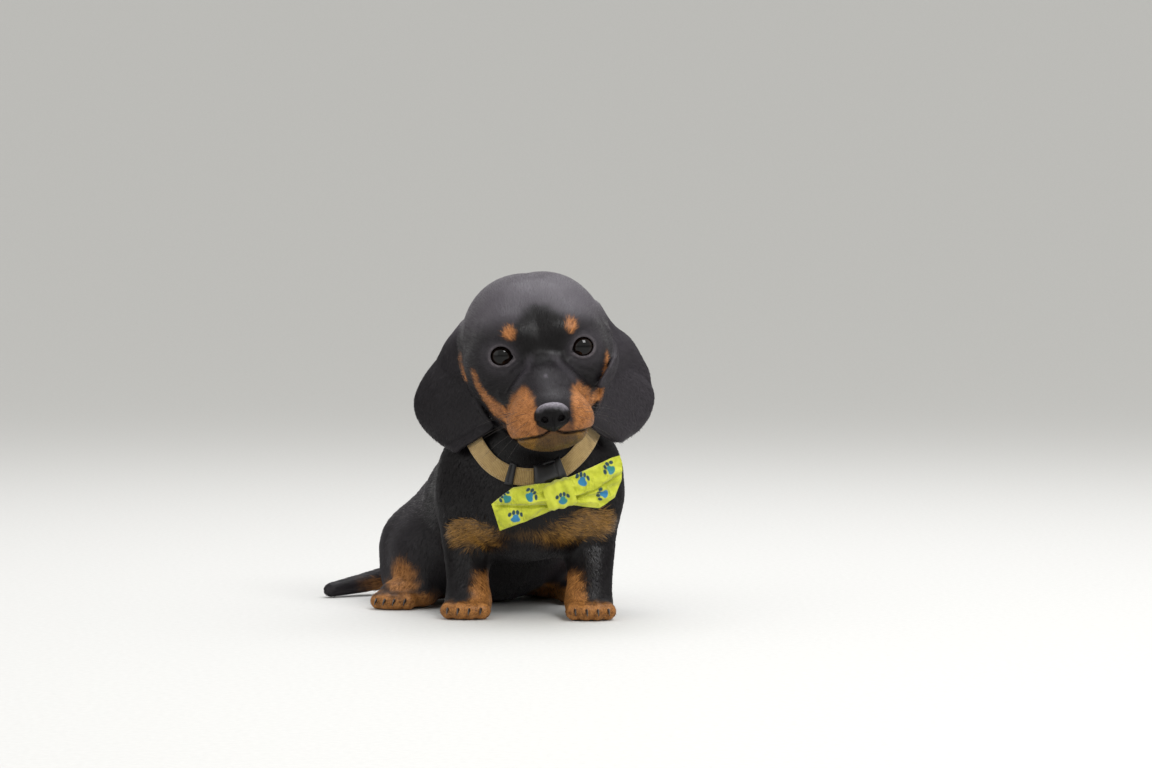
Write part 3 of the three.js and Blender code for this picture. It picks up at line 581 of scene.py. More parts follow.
# Meshes from fields
class Lattice:
    """A field's values on a lattice of points, exact close to the surface and rough elsewhere."""

    def __init__(self, field, low, high, cell, coarse=4):
        self.cell = cell
        self.low = np.array(low, float)
        blocks = np.ceil((np.array(high) - low) / (cell * coarse)).astype(int) + 1
        axes = [self.low[a] + np.arange(blocks[a] + 1) * cell * coarse for a in range(3)]
        grid = np.stack(np.meshgrid(*axes, indexing="ij"), -1).reshape(-1, 3)
        rough = field(grid).reshape(blocks + 1)
        for a in range(3):
            rough = self.finer(rough, a, coarse)
        near = np.argwhere(np.abs(rough) < 0.9 * cell * coarse + 2 * cell)
        rough[tuple(near.T)] = field(self.low + near * cell)
        for a in range(3):
            ends = [slice(None)] * 3
            ends[a] = [0, -1]
            rough[tuple(ends)] = np.maximum(rough[tuple(ends)], 0.3 * cell)
        self.value = rough.astype(np.float32)

    @staticmethod
    def finer(values, axis, times):
        """The values with steps between them along one axis."""
        n = (values.shape[axis] - 1) * times + 1
        along = np.arange(n) / times
        i = np.minimum(along.astype(int), values.shape[axis] - 2)
        shape = [1, 1, 1]
        shape[axis] = n
        t = (along - i).reshape(shape)
        return np.take(values, i, axis) * (1 - t) + np.take(values, i + 1, axis) * t

    def at(self, p):
        """The field at points, between the lattice's own."""
        q = (p - self.low) / self.cell
        n = np.array(self.value.shape)
        i = np.clip(q.astype(int), 0, n - 2)
        t = np.clip(q - i, 0, 1)
        total = np.zeros(len(p))
        for c in np.ndindex(2, 2, 2):
            weight = np.prod(np.where(c, t, 1 - t), axis=1)
            total += weight * self.value[i[:, 0] + c[0], i[:, 1] + c[1], i[:, 2] + c[2]]
        return total

    def slope(self, p):
        """The way out of the surface at points."""
        e = self.cell * 0.7
        g = np.column_stack([self.at(p + step) - self.at(p - step) for step in np.eye(3) * e])
        return g / np.maximum(np.linalg.norm(g, axis=1), 1e-9)[:, None]


CORNERS = np.array(list(np.ndindex(2, 2, 2)))
CELL_EDGES = [
    (a, b) for a in range(8) for b in range(a + 1, 8) if np.abs(CORNERS[a] - CORNERS[b]).sum() == 1
]


def surface_of(lattice):
    """Points and quads where the lattice's field is 0, with one point in each cell it crosses."""
    value = lattice.value
    inside = value < 0
    parts = [slice(0, -1), slice(1, None)]
    count = sum(inside[parts[i], parts[j], parts[k]].astype(int) for i, j, k in CORNERS)
    cells = np.argwhere((count > 0) & (count < 8))
    v = np.column_stack([value[tuple((cells + c).T)] for c in CORNERS])
    total = np.zeros((len(cells), 3))
    crossings = np.zeros(len(cells))
    for a, b in CELL_EDGES:
        cross = (v[:, a] < 0) != (v[:, b] < 0)
        t = v[:, a] / np.where(cross, v[:, a] - v[:, b], 1)
        total += np.where(cross[:, None], CORNERS[a] + t[:, None] * (CORNERS[b] - CORNERS[a]), 0)
        crossings += cross
    points = lattice.low + (cells + total / crossings[:, None]) * lattice.cell
    number = np.full(np.array(value.shape) - 1, -1)
    number[tuple(cells.T)] = np.arange(len(cells))
    quads = []
    steps = np.eye(3, dtype=int)
    for a in range(3):
        part = [slice(1, -1)] * 3
        after = list(part)
        after[a] = slice(2, None)
        changes = np.argwhere(inside[tuple(part)] != inside[tuple(after)]) + 1
        b, c = steps[(a + 1) % 3], steps[(a + 2) % 3]
        quad = np.column_stack([number[tuple((changes + s).T)] for s in (-b - c, -c, 0 * b, -b)])
        turn = ~inside[tuple(changes.T)]
        quad[turn] = quad[turn][:, ::-1]
        quads.append(quad)
    return points, np.concatenate(quads)


def settled(points, field, reach, turns=2):
    """The points moved onto the surface of a field, each by no more than reach."""
    start = points
    for _ in range(turns):
        f = field(points)
        g = slope_of(field, points, f)
        size = np.maximum((g * g).sum(1), 0.05)
        points = points - g * (f / size)[:, None]
        points = np.clip(points, start - reach, start + reach)
    return points


def meshed(field, low, high, cell):
    """The lattice of a field in a box, and the points and quads of its surface."""
    lattice = Lattice(field, low, high, cell)
    points, quads = surface_of(lattice)
    return lattice, settled(points, field, SETTLE * cell), quads


def refined(points, faces, chosen, field, reach):
    """The mesh with faces cut finer, once for each choice, and settled on the field again."""
    bm = bmesh.new()
    made = [bm.verts.new(p) for p in points]
    for face in faces:
        bm.faces.new([made[i] for i in face])
    for choice in chosen:
        bm.faces.ensure_lookup_table()
        middles = np.array([face.calc_center_median() for face in bm.faces])
        cut = {e for i in np.nonzero(choice(middles))[0] for e in bm.faces[i].edges}
        bmesh.ops.subdivide_edges(bm, edges=list(cut), cuts=1, use_grid_fill=True)
    bmesh.ops.triangulate(bm, faces=bm.faces[:])
    bm.verts.index_update()
    points = np.array([v.co for v in bm.verts])
    faces = np.array([[v.index for v in face.verts] for face in bm.faces])
    bm.free()
    move = np.zeros(len(points), bool)
    for choice in chosen:
        move |= choice(points)
    points[move] = settled(points[move], field, reach)
    return points, faces


def mesh_piece(name, points, faces, material=None, attributes=None):
    """A smooth mesh object from points in millimetres in the dog's own frame."""
    faces = np.asarray(faces, np.int32)
    n, k = faces.shape
    me = bpy.data.meshes.new(name)
    me.vertices.add(len(points))
    me.vertices.foreach_set("co", ((np.asarray(points) + SHIFT) * MM).astype(np.float32).ravel())
    me.loops.add(n * k)
    me.loops.foreach_set("vertex_index", faces.ravel())
    me.polygons.add(n)
    me.polygons.foreach_set("loop_start", np.arange(n, dtype=np.int32) * k)
    me.update(calc_edges=True)
    me.shade_smooth()
    for label, values in (attributes or {}).items():
        values = np.asarray(values, np.float32)
        if values.ndim == 1:
            me.attributes.new(label, "FLOAT", "POINT").data.foreach_set("value", values)
        else:
            me.attributes.new(label, "FLOAT_VECTOR", "POINT").data.foreach_set("vector", values.ravel())
    piece = bpy.data.objects.new(name, me)
    bpy.context.scene.collection.objects.link(piece)
    if material:
        me.materials.append(material)
    return piece


def triangles_of(faces):
    """Quads cut into triangles."""
    return np.concatenate([faces[:, [0, 1, 2]], faces[:, [0, 2, 3]]])


def joined(*meshes):
    """Several (points, triangles) as one."""
    points = np.concatenate([p for p, _ in meshes])
    starts = np.cumsum([0] + [len(p) for p, _ in meshes])
    faces = np.concatenate([f + start for (_, f), start in zip(meshes, starts)])
    return points, faces


def grid_faces(rows, columns, loop=False):
    """The quads of a grid of points, row by row. With loop, each row is closed."""
    r, c = np.meshgrid(np.arange(rows - 1), np.arange(columns - (not loop)), indexing="ij")
    r, c = r.ravel(), c.ravel()
    d = (c + 1) % columns
    return np.column_stack([r * columns + c, r * columns + d, (r + 1) * columns + d, (r + 1) * columns + c])


def capped(rows, columns, points, ends=None):
    """A tube of rings of points, closed at each end: at a given point or in the ring's middle."""
    if ends is None:
        ends = [points[:columns].mean(0), points[-columns:].mean(0)]
    k = np.arange(columns)
    n = (k + 1) % columns
    top = (rows - 1) * columns
    first = np.column_stack([n, k, np.full(columns, len(points))])
    last = np.column_stack([top + k, top + n, np.full(columns, len(points) + 1)])
    faces = [triangles_of(grid_faces(rows, columns, loop=True)), first, last]
    return np.vstack([points, ends]), np.concatenate(faces)


# Materials and trees of nodes
# Blender's names of the nodes that are used most, and what makes a mix one of colours
ATTRIBUTE = "ShaderNodeAttribute"
BUMP = "ShaderNodeBump"
COORDINATES = "ShaderNodeTexCoord"
MATH = "ShaderNodeMath"
MIX = "ShaderNodeMix"
NOISE = "ShaderNodeTexNoise"
RAMP = "ShaderNodeValToRGB"
RANGE = "ShaderNodeMapRange"
COLOURS = {"out": 2, "data_type": "RGBA"}


def linear(hex_colour):
    """An sRGB hex colour as linear RGBA."""
    channels = [int(hex_colour[i : i + 2], 16) / 255 for i in (1, 3, 5)]
    return (*[c / 12.92 if c <= 0.04045 else ((c + 0.055) / 1.055) ** 2.4 for c in channels], 1)


def fill(tree, node, inputs):
    """Sets the inputs of a node to values, or links them to sockets."""
    for key, value in inputs.items():
        if isinstance(value, bpy.types.NodeSocket):
            tree.links.new(value, node.inputs[key])
        else:
            node.inputs[key].default_value = value


def add(tree, kind, inputs=None, out=0, stops=(), **settings):
    """Adds a node with its settings and links, and gives one of its outputs. The stops of a colour
    ramp are places and sRGB hex colours."""
    node = tree.nodes.new(kind)
    for key, value in settings.items():
        setattr(node, key, value)
    if stops:
        elements = node.color_ramp.elements
        while len(elements) < len(stops):
            elements.new(0.5)
        for element, (place, colour) in zip(elements, stops):
            element.position = place
            element.color = linear(colour)
    fill(tree, node, inputs or {})
    return node.outputs[out]


def finish_of(name):
    """A new material and its tree."""
    material = bpy.data.materials.new(name)
    material.use_nodes = True
    return material, material.node_tree


def finished(material, inputs):
    """The material, with the inputs of its shader set or linked."""
    tree = material.node_tree
    fill(tree, tree.nodes["Principled BSDF"], inputs)
    return material


# Markings and painted sheen, shared by the skin and the coat
def spot(p, centre, radii, ragged=0.0, soft=0.25):
    """1 in the middle of a patch, 0 outside it."""
    q = (p - np.array(centre)) / np.array(radii)
    return smooth(1 + soft, 1 - soft, np.sqrt((q * q).sum(1)) + ragged)


def ragged_noise(p, size):
    """A soft wave from -1 to 1 that breaks up the edge of a marking."""
    q = p / size
    total = np.sin(q[:, 0] * 1.7 + 2.1 * np.sin(q[:, 1] * 1.3)) + np.sin(q[:, 1] * 2.3 + q[:, 2] * 1.9)
    return (total + np.sin(q[:, 2] * 2.9 + 1.7 * np.sin(q[:, 0] * 2.2))) / 3


BROW_SPOTS = (((-15.5, -38.2, 7.2), (3.5, 7, 3.4)), ((17.9, -37.7, 7.8), (3.0, 7, 3.6)))
# The tan strips of the cheeks in the head's frame, each point with the strip's half width
CHEEK_STRIPS = (
    ((-36.6, -26, -12, 1.6), (-34.2, -24.8, -20.5, 2.3), (-30.7, -25, -28.1, 3.6), (-26, -28, -35, 5.6)),
    ((-26, -28, -35, 5.6), (-24, -38, -41, 5.5), (-22, -50, -43, 5)),
    ((-40.6, -3, -3.5, 1.3), (-40.2, -11.4, -15.3, 1.5)),
    ((36.3, -26.4, -11, 1.4), (33.6, -24.3, -22.5, 2.4), (29.5, -24.5, -31.5, 3.6), (25, -30, -37, 5)),
)


def face_tan(q):
    """The tan of the face in the head's frame: spots over the eyes, muzzle, cheeks and lower jaw. The lower
    jaw's tan is weakened towards black as painted shade under the muzzle.
    """
    x, y, z = q.T
    wave = ragged_noise(q, 3.0)
    fine = ragged_noise(q + 5, 1.3)
    rough = 0.7 * wave + 0.5 * fine
    spots = [spot(q, at, size, 0.10 * wave + 0.08 * fine, 0.32) for at, size in BROW_SPOTS]
    # The black of the bridge is widest between the eyes and narrows to the nose.
    bridge = 9.6 + 2.6 * smooth(-66, -50, y) + 4.0 * smooth(-48, -36, y)
    beside = smooth(-1.2, 1.6, np.abs(x - 1.5) - bridge + 0.8 * rough)
    right_top = -21.6 - 0.5 * (y + 50.5) - 0.45 * np.maximum(y + 41.3, 0)
    left_top = -24.0 - 0.55 * np.maximum(y + 39.2, 0)
    top = np.where(x < 0, right_top, left_top)
    muzzle = beside * smooth(1.8, -1.8, z - top + 1.4 * rough) * smooth(-27, -32, y)
    jaw = smooth(-41, -44, z) * smooth(-24, -30, y - 0.35 * (z + 50) + 2 * wave)
    strips = [smooth(0.9, -0.9, chain(*path)(q) + 0.6 * rough) for path in CHEEK_STRIPS]
    # The lower jaw's tan at 0.42: painted shade under the muzzle.
    return np.max([*spots, muzzle, 0.42 * jaw, *strips], axis=0)


def olive_of(p):
    """Where the tan is dull and brown: the lower jaw and the chest."""
    q = HEAD.into(p)
    jaw = smooth(-46.5, -49, q[:, 2] - 0.3 * (mouth_height(q[:, 0]) + 48)) * smooth(-18, -24, q[:, 1])
    chest = smooth(34, 40, p[:, 2]) * smooth(86, 80, p[:, 2])
    leg = 0.35 * smooth(86, 80, p[:, 2])
    return np.max([jaw * (p[:, 2] > 82), chest, leg], axis=0)


def grey_and_sheen_of(p, is_head):
    """Where the black coat is painted greyish, from 0 to 1. Most of it is painted sheen: on the crown and the
    upper sides of the head, on the ears, most on the dog's left ear, which the key lamp lights, and faintly
    over the body, growing towards its rear. The dark cap of the forehead is left without it. It is also paler
    round the eyes, on the muzzle, in streaks under the eyes and in a fleck on the bridge.
    """
    q = HEAD.into(p)
    wave = ragged_noise(q, 5.0)
    # Painted sheen: the crown and the upper sides of the head are painted greyish where light from above
    # falls, except on the dark cap of the forehead.
    cap = spot(q, (1.8, -38, 2), (16, 22, 18), 0.10 * wave, 0.16)
    crown = smooth(0, 18, q[:, 2]) * smooth(60, 20, -q[:, 1])
    painted_temple_sheen = 0.20 * smooth(-30, -8, q[:, 2])
    ring = np.max([np.exp(-(((np.linalg.norm(p - e.at, axis=1) - 10) / 3.5) ** 2)) for e in EYES.values()], 0)
    muzzle = 0.18 * smooth(-36, -44, q[:, 1]) * smooth(-8, -16, q[:, 2])
    apart = 5.5 + 0.45 * smooth(0, -22, q[:, 2]) * -q[:, 2]
    bands = 0.42 * np.exp(-(((np.abs(q[:, 0] - 0.4) - apart) / 2.6) ** 2))
    bands *= smooth(-4, -9, q[:, 2]) * smooth(-28, -22, q[:, 2]) * smooth(-32, -36, q[:, 1])
    fleck = 1.6 * spot(q, (0, -52.7, -17.3), (0.9, 3, 0.8), 0.2 * wave)
    face = np.max([np.maximum(crown, painted_temple_sheen) * (1 - cap), 0.42 * ring, muzzle, bands, fleck], axis=0)
    # A faint painted sheen over the body, growing towards its rear.
    back = 0.22 * smooth(10, 50, p[:, 1]) + 0.04
    # Painted sheen on the ears, stronger on the dog's left ear, which the key lamp lights.
    painted_ear_sheen = np.where(p[:, 0] > 0, 0.42, 0.14) * smooth(0.7, 1.7, flesh(p))
    return np.where(is_head, np.maximum(face, painted_ear_sheen), back)


CHEST_PATCHES = (
    ((-29, -22, 47.5), (14.5, 24, 7.6), 4),
    ((26, -24, 52.5), (20.5, 24, 7.6), 8),
    ((2, -34, 50), (9, 12, 3.5), 0),
)


def body_tan(p):
    """The tan of the chest, legs, feet and under the tail, in the dog's frame."""
    wave = ragged_noise(p, 4.0)
    fine = ragged_noise(p + 9, 1.7)
    marks = []
    for at, size, lean in CHEST_PATCHES:
        q = (p - np.array(at)) @ turn_matrix(roll=lean)
        marks.append(spot(q, (0, 0, 0), size, 0.22 * wave + 0.2 * fine, 0.35))
    marks[2] *= 0.25
    for side, s in SIDES.items():
        q = FOREPAWS[side].into(p)
        inner = -q[:, 0] * s
        near = smooth(24, 19, np.abs(q[:, 0])) * smooth(22, 15, q[:, 1]) * smooth(-26, -24, q[:, 1])
        inside = smooth(0.5, 4.5, inner + 1.2 * wave) * smooth(30, 24, p[:, 2] + 2.5 * wave)
        foot = smooth(12, 7, p[:, 2] + 1.5 * wave + 0.3 * (q[:, 1] + 8))
        marks.append(near * np.maximum(inside, foot))
        h = HINDPAWS[side].into(p)
        near = smooth(25, 18, np.abs(h[:, 0])) * smooth(36, 26, h[:, 1]) * smooth(-24, -22, h[:, 1])
        marks.append(near * smooth(13, 8, p[:, 2] + 1.5 * wave - 0.15 * h[:, 1]))
    marks.append(spot(p, (-73, 38, 18), (9.5, 22, 11.5), 0.14 * wave, 0.3))
    marks.append(spot(p, (30, 66, 17), (9, 16, 9), 0.14 * wave, 0.3) * (p[:, 0] < 34))
    vent = spot(p, (-40, 119, 16), (22, 13, 13), 0.15 * wave)
    under = (tail(p) < 3) * smooth(1.5, -1.5, p[:, 2] - 9 + 0.05 * (p[:, 0] + 60))
    marks += [vent, under * smooth(-104, -86, p[:, 0]) * 0.8]
    return np.max(marks, axis=0)


def tan_of(p, is_head):
    """How tan the coat is at each point, from 0, black, to 1."""
    tan = np.zeros(len(p))
    if (~is_head).any():
        tan[~is_head] = body_tan(p[~is_head])
    if is_head.any():
        q = HEAD.into(p[is_head])
        off_ear = smooth(2.2, 1.2, flesh(p[is_head]))
        tan[is_head] = face_tan(q) * off_ear
    return tan


# The skin
def near_lids(p, off, reach, radius, front):
    """Points near the rims of the lids: no more than reach from off outside their opening."""
    near = np.zeros(len(p), bool)
    for side, s in SIDES.items():
        q = EYES[side].into(p)
        at_rim = np.abs(eye_opening(q, s) - off) < reach
        near |= at_rim & (np.linalg.norm(q, axis=1) < radius) & (q[:, 1] < front)
    return near


def face_zone(p):
    """Where the face's mesh is cut finer: round the lids, and along the mouth."""
    return near_lids(p, 0.4, 2.2, 13, -1) | mouth_zone(p)


def rim_zone(p):
    """Where it is cut finer once more: the rims of the lids."""
    return near_lids(p, 0, 0.9, 12, -3)


def mouth_zone(p):
    """Near the line of the mouth."""
    q = HEAD.into(p)
    off = np.abs(q[:, 2] - mouth_height(q[:, 0]))
    return (off < 2.0) & (q[:, 1] < -31) & (np.abs(q[:, 0]) < 26)


def toe_zone(p):
    """Where the body's mesh is cut finer: the toes."""
    near = np.zeros(len(p), bool)
    for place in PAWS:
        q = place.into(p)
        near |= (np.abs(q[:, 0]) < 20) & (q[:, 1] < 8) & (q[:, 1] > -26) & (q[:, 2] < 19)
    return near


def make_skin():
    """The skin of the whole dog: two closed meshes that meet under the collar."""
    head_lattice, points, faces = meshed(head_skin, (-75, -92, 84), (79, 42, 195), HEAD_CELL)
    head_mesh = refined(points, faces, [face_zone, rim_zone], head_skin, 0.35)
    body_lattice, points, faces = meshed(body_skin, (-127, -54, -3), (69, 136, 143), BODY_CELL)
    body_mesh = refined(points, faces, [toe_zone], body_skin, 0.5)
    return head_mesh, body_mesh, head_lattice, body_lattice


# The nose
def nose_field(pierced=True):
    """The bare pad, wide above and narrow below, with curled nostrils, if pierced, and a furrow."""
    top = ellipsoid((0, 0, 0.9), (9.2, 6.2, 6.2))
    under = ellipsoid((0, 0.2, -3.8), (7.0, 5.5, 4.8))
    wings = paired(ellipsoid((6.0, -1.2, -1.4), (3.5, 4.3, 4.2)))
    lip = limb((0, -3.0, -5), 2.3, (0, -1.4, -7.4), 1.4)
    hole = paired(limb((4.7, -8.4, -2.9), 2.6, (4.4, -2.6, -1.8), 1.3))
    curl = paired(chain((5.2, -6.4, -3.5, 1.5), (7.5, -4.2, -3.9, 1.0), (9.8, -1.2, -3.0, 0.5)))
    pad = blend(2.2, top, under, wings, lip)
    openings = blend(0.8, hole, curl)

    def field(q):
        if not pierced:
            return pad(q)
        d = soft_max(pad(q), -openings(q), 0.9)
        furrow = np.exp(-((q[:, 0] / 0.5) ** 2)) * smooth(-2, -4, q[:, 1]) * smooth(1.5, -1.5, q[:, 2])
        wing_fold = np.exp(-((np.abs(np.abs(q[:, 0]) - 7.4 + 0.25 * q[:, 2]) / 0.5) ** 2))
        return d + 0.6 * furrow + 0.25 * wing_fold * smooth(-3, -5, q[:, 1])

    return field


NOSE = Place(NOSE_AT, inside=HEAD)


def make_nose(material):
    """The nose pad. Its upward-facing top is painted paler: partly dry dust, partly a painted highlight of
    the light from above.
    """
    lattice, points, faces = meshed(nose_field(), (-11.5, -9.5, -12.5), (11.5, 8, 9), NOSE_CELL)
    up = lattice.slope(points) @ NOSE.turn.T
    # The upward-facing top: dry and dusty, and painted paler as a highlight of the light from above.
    dry_and_lit_top = smooth(0.25, 0.9, up[:, 2]) * smooth(0.2, 2.2, points[:, 2])
    return mesh_piece("nose_pad", NOSE.out(points), faces, material, {"dry_and_lit_top": dry_and_lit_top})


# The eyes
def make_eye(side, material):
    """An eyeball with a raised cornea. Its point attribute gives the angle from its axis."""
    rings, around = 40, 64
    angle = np.concatenate([np.linspace(0.02, 0.95, 26), np.linspace(1.0, math.pi - 0.02, rings - 26)])
    a, t = np.meshgrid(angle, np.arange(around) / around * 2 * math.pi, indexing="ij")
    a, t = a.ravel(), t.ravel()
    r = EYE_R + EYE_OUT + CORNEA * smooth(0.95, 0.1, a)
    points = np.column_stack([r * np.sin(a) * np.cos(t), -r * np.cos(a), r * np.sin(a) * np.sin(t)])
    poles = ((0, -EYE_R - EYE_OUT - CORNEA, 0), (0, EYE_R + EYE_OUT, 0))
    points, faces = capped(rings, around, points, poles)
    attributes = {"off_axis": np.append(a, (angle[0], angle[-1]))}
    return mesh_piece(f"eye_{side}_ball", EYES[side].out(points), faces, material, attributes)


# The claws
def make_claws(material):
    """Curved horn, one to a toe, with the tip just off the floor."""
    meshes = []
    for places, size in ((FOREPAWS, PAW), (HINDPAWS, HINDPAW)):
        for place in places.values():
            for _, (x, y, z) in toes(size):
                meshes.append(claw(place, np.array([x, y - 3.4, z + 1.1])))
    points, faces = joined(*meshes)
    return mesh_piece("claws", points, faces, material)


def claw(place, root, length=6.2, thick=1.25):
    """A claw that bends down to its tip, in a paw's own frame."""
    rings, around = 8, 10
    points = []
    for bend in np.arange(rings) / (rings - 1):
        up = np.array([0, -math.sin(bend), math.cos(bend)])
        middle = root + length * np.array([0, up[1], (up[2] - 1) * 0.95])
        radius = thick * (1 - bend) ** 0.6 * (1 - 0.15 * bend) + 0.06
        for t in np.arange(around) / around * 2 * math.pi:
            points.append(middle + radius * (math.sin(t) * up + (0.72 * math.cos(t), 0, 0)))
    points = np.array(points)
    points, faces = capped(rings, around, points, (root, points[-around:].mean(0)))
    points = place.out(points)
    points[:, 2] = np.maximum(points[:, 2], 0.15)
    return points, faces


# The collar
def clear_of_coat(angle, h):
    """Where the collar's plane comes clear of the coat at angles round the neck, h above its middle."""
    sin, cos = np.sin(angle), np.cos(angle)
    middle = COLLAR_AT + COLLAR_UP * h + COLLAR_BACK * 42
    out = np.column_stack([sin, -cos * COLLAR_BACK[1], -cos * COLLAR_BACK[2]])
    steps = np.arange(10, 75, 0.5)
    p = middle + out[:, None, :] * steps[None, :, None]
    outside = flesh(p.reshape(-1, 3)).reshape(len(angle), -1) >= WEB
    r = steps[outside.argmax(1)]
    step = 0.25
    while step > 0.01:
        r = r + np.where(flesh(middle + out * r[:, None]) < WEB, step, -step)
        step /= 2
    return middle + out * (r + COLLAR_SLACK * np.maximum(cos, 0) ** 2)[:, None]


def web_frame(angle):
    """The middle of the webbing at angles, the way across it and the way out of the neck."""
    low, middle, high = (clear_of_coat(angle, h) for h in (-1, 0, 1))
    across = high - low
    across /= np.linalg.norm(across, axis=1)[:, None]
    sin, cos = np.sin(angle), np.cos(angle)
    round_ = np.column_stack([cos, sin * COLLAR_BACK[1], sin * COLLAR_BACK[2]])
    out = np.cross(round_, across)
    return middle, across, out / np.linalg.norm(out, axis=1)[:, None]


def swept(angle, profile, loop):
    """A closed mesh of a profile swept round the neck. The profile gives, for each angle, points
    across the webbing and above its inside, in millimetres."""
    middle, across, out = web_frame(angle)
    edge = {s: np.maximum(WEB - flesh(middle + across * s * COLLAR_W / 2), 0) for s in (-1, 1)}
    rows = []
    for k in range(len(angle)):
        a, b = profile(k)
        lack = np.where(a < 0, edge[-1][k], edge[1][k]) * np.abs(a) / (COLLAR_W / 2)
        rows.append(middle[k] + np.outer(a, across[k]) + np.outer(b + lack, out[k]))
    count = len(rows[0])
    points = np.concatenate(rows)
    faces = grid_faces(len(angle), count, loop=True)
    if loop:
        last = (len(angle) - 1) * count
        c = np.arange(count)
        d = (c + 1) % count
        faces = np.vstack([faces, np.column_stack([last + c, last + d, d, c])])
    faces = triangles_of(faces)
    if not loop:
        for ring, flip in ((0, False), (len(angle) - 1, True)):
            start = ring * count
            c = np.arange(1, count - 1)
            fan = np.column_stack([np.full(count - 2, start), start + c + 1, start + c])
            faces = np.vstack([faces, fan[:, ::-1] if flip else fan])
    return points, faces


def web_outline(width, thick):
    """Round the edge of flat webbing: across and above, with full selvedges."""
    t = np.linspace(0, 2 * math.pi, 40, endpoint=False)
    c, s = np.cos(t), np.sin(t)
    a = np.sign(c) * np.abs(c) ** 0.35 * width / 2
    b = np.sign(s) * np.abs(s) ** 0.7 * thick / 2 + thick / 2
    return a, b * (1 + 0.10 * (np.abs(a) > width * 0.42) * (b > thick / 2))


def make_webbing(material):
    """The webbing, with its mesh's start under the slider."""
    around = 300
    angle = np.arange(around) / around * 2 * math.pi + math.radians(SLIDER[0])
    a, b = web_outline(COLLAR_W, COLLAR_T)
    wave = 0.12 * np.sin(angle * 9) + 0.08 * np.sin(angle * 23)
    points, faces = swept(angle, lambda k: (a, b + wave[k] * (b > 1)), True)
    middle, _, _ = web_frame(angle)
    ahead = np.linalg.norm(np.roll(middle, -1, axis=0) - middle, axis=1)
    along = np.concatenate([[0], np.cumsum(ahead)[:-1]])
    attributes = {"along_web": np.repeat(along, len(a)), "across_web": np.tile(a, around)}
    return mesh_piece("collar_webbing", points, faces, material, attributes)


def make_buckle(material):
    """A side-release buckle: a domed body with a window over each spring arm."""
    at, half = BUCKLE
    angle = np.radians(np.linspace(at - half, at + half, 60))
    low = COLLAR_T + CLIP_GAP
    a = np.concatenate([np.linspace(-6.75, 6.75, 45), np.linspace(6.4, -6.4, 9)])
    top = np.arange(len(a)) < 45

    def profile(k):
        u = (math.degrees(angle[k]) - at) / half
        end = (1 - abs(u) ** 6) ** 0.5 if abs(u) < 1 else 0
        dome = 4.0 * (1 - np.abs(a / 6.9) ** 4) ** 0.5 * (0.35 + 0.65 * end)
        width = 1 - 0.10 * smooth(-0.35, -0.95, u)
        window = np.exp(-(((np.abs(a) - 5.0) / 0.75) ** 4)) * math.exp(-((u - 0.05) / 0.36) ** 4)
        seam = 0.45 * math.exp(-(((u - 0.42) / 0.05) ** 2))
        height = np.maximum(dome - 1.5 * window - seam * (dome > 1), 0.4)
        return a * width, low + np.where(top, height, 0)

    points, faces = swept(angle, profile, False)
    return mesh_piece("buckle_body", points, faces[:, ::-1], material)


def make_slider(material):
    """A slider with a rounded bar at each side of the webbing's loop."""
    at, half = SLIDER
    angle = np.radians(np.linspace(at - half, at + half, 24))
    low = COLLAR_T + CLIP_GAP
    a = np.concatenate([np.linspace(-6.5, 6.5, 31), np.linspace(6.2, -6.2, 7)])
    top = np.arange(len(a)) < 31

    def profile(k):
        u = (math.degrees(angle[k]) - at) / half
        bar = 2.0 * (1 - abs(u) ** 4 * 0.6) - 0.7 * math.exp(-((u / 0.4) ** 2)) * (np.abs(a) < 4.8)
        edge = (1 - np.abs(a / 6.6) ** 8) ** 0.5
        return a, low + np.where(top, np.maximum(bar * edge, 0.3), 0)

    points, faces = swept(angle, profile, False)
    return mesh_piece("slider_bar", points, faces[:, ::-1], material)


# The bow tie: the edges of each wing in the bow's own frame, as distance from its middle and height
WING_EDGES = {
    "left": {
        "top": ((3, 7.4), (9, 7.4), (22, 8.6), (33, 9.9), (38.0, 9.6)),
        "foot": ((3, -7), (7, -9), (12, -11.6), (18.7, -14.6), (28.4, -11.8), (35, -3.6), (38.0, 4.5)),
    },
    "right": {
        "top": ((3, 7.6), (10, 9.2), (23, 11.2), (29.5, 9.0), (36.9, 5.9)),
        "foot": ((3, -7), (10, -7.8), (22, -8.9), (36.9, -9.9)),
    },
}
# The main fold of each wing from the knot to its end, as distance and height, and its depth
WING_FOLDS = {
    "left": (((3, -3), (8.5, -3.3), (20, -2.6), (38, 0.4)), 1.8),
    "right": (((3, -3.4), (8.6, -3.0), (20, 0.6), (37, 5.5)), 2.0),
}
# Own layout of the paw prints: where on the wing or knot, turn in degrees, and the size in mm
PRINTS = {
    "left": ((14.5, 4.6, -24, 8.0), (30.5, 5.2, 34, 8.2), (22.5, -7.0, 75, 7.8)),
    "right": ((15, 5.0, 58, 7.6), (28.5, 7.6, -32, 7.4), (26.5, -4.0, 18, 8.2)),
    "knot": ((1.0, -1.6, -10, 8.0),),
}
PUFF = {"scale": 20, "frames": 10, "pressure": 6, "slack": -0.05, "cap": 1.6}


def rotated(x, z, degrees):
    """A flat vector turned clockwise by an angle."""
    c, s = math.cos(math.radians(degrees)), math.sin(math.radians(degrees))
    return c * x + s * z, -s * x + c * z


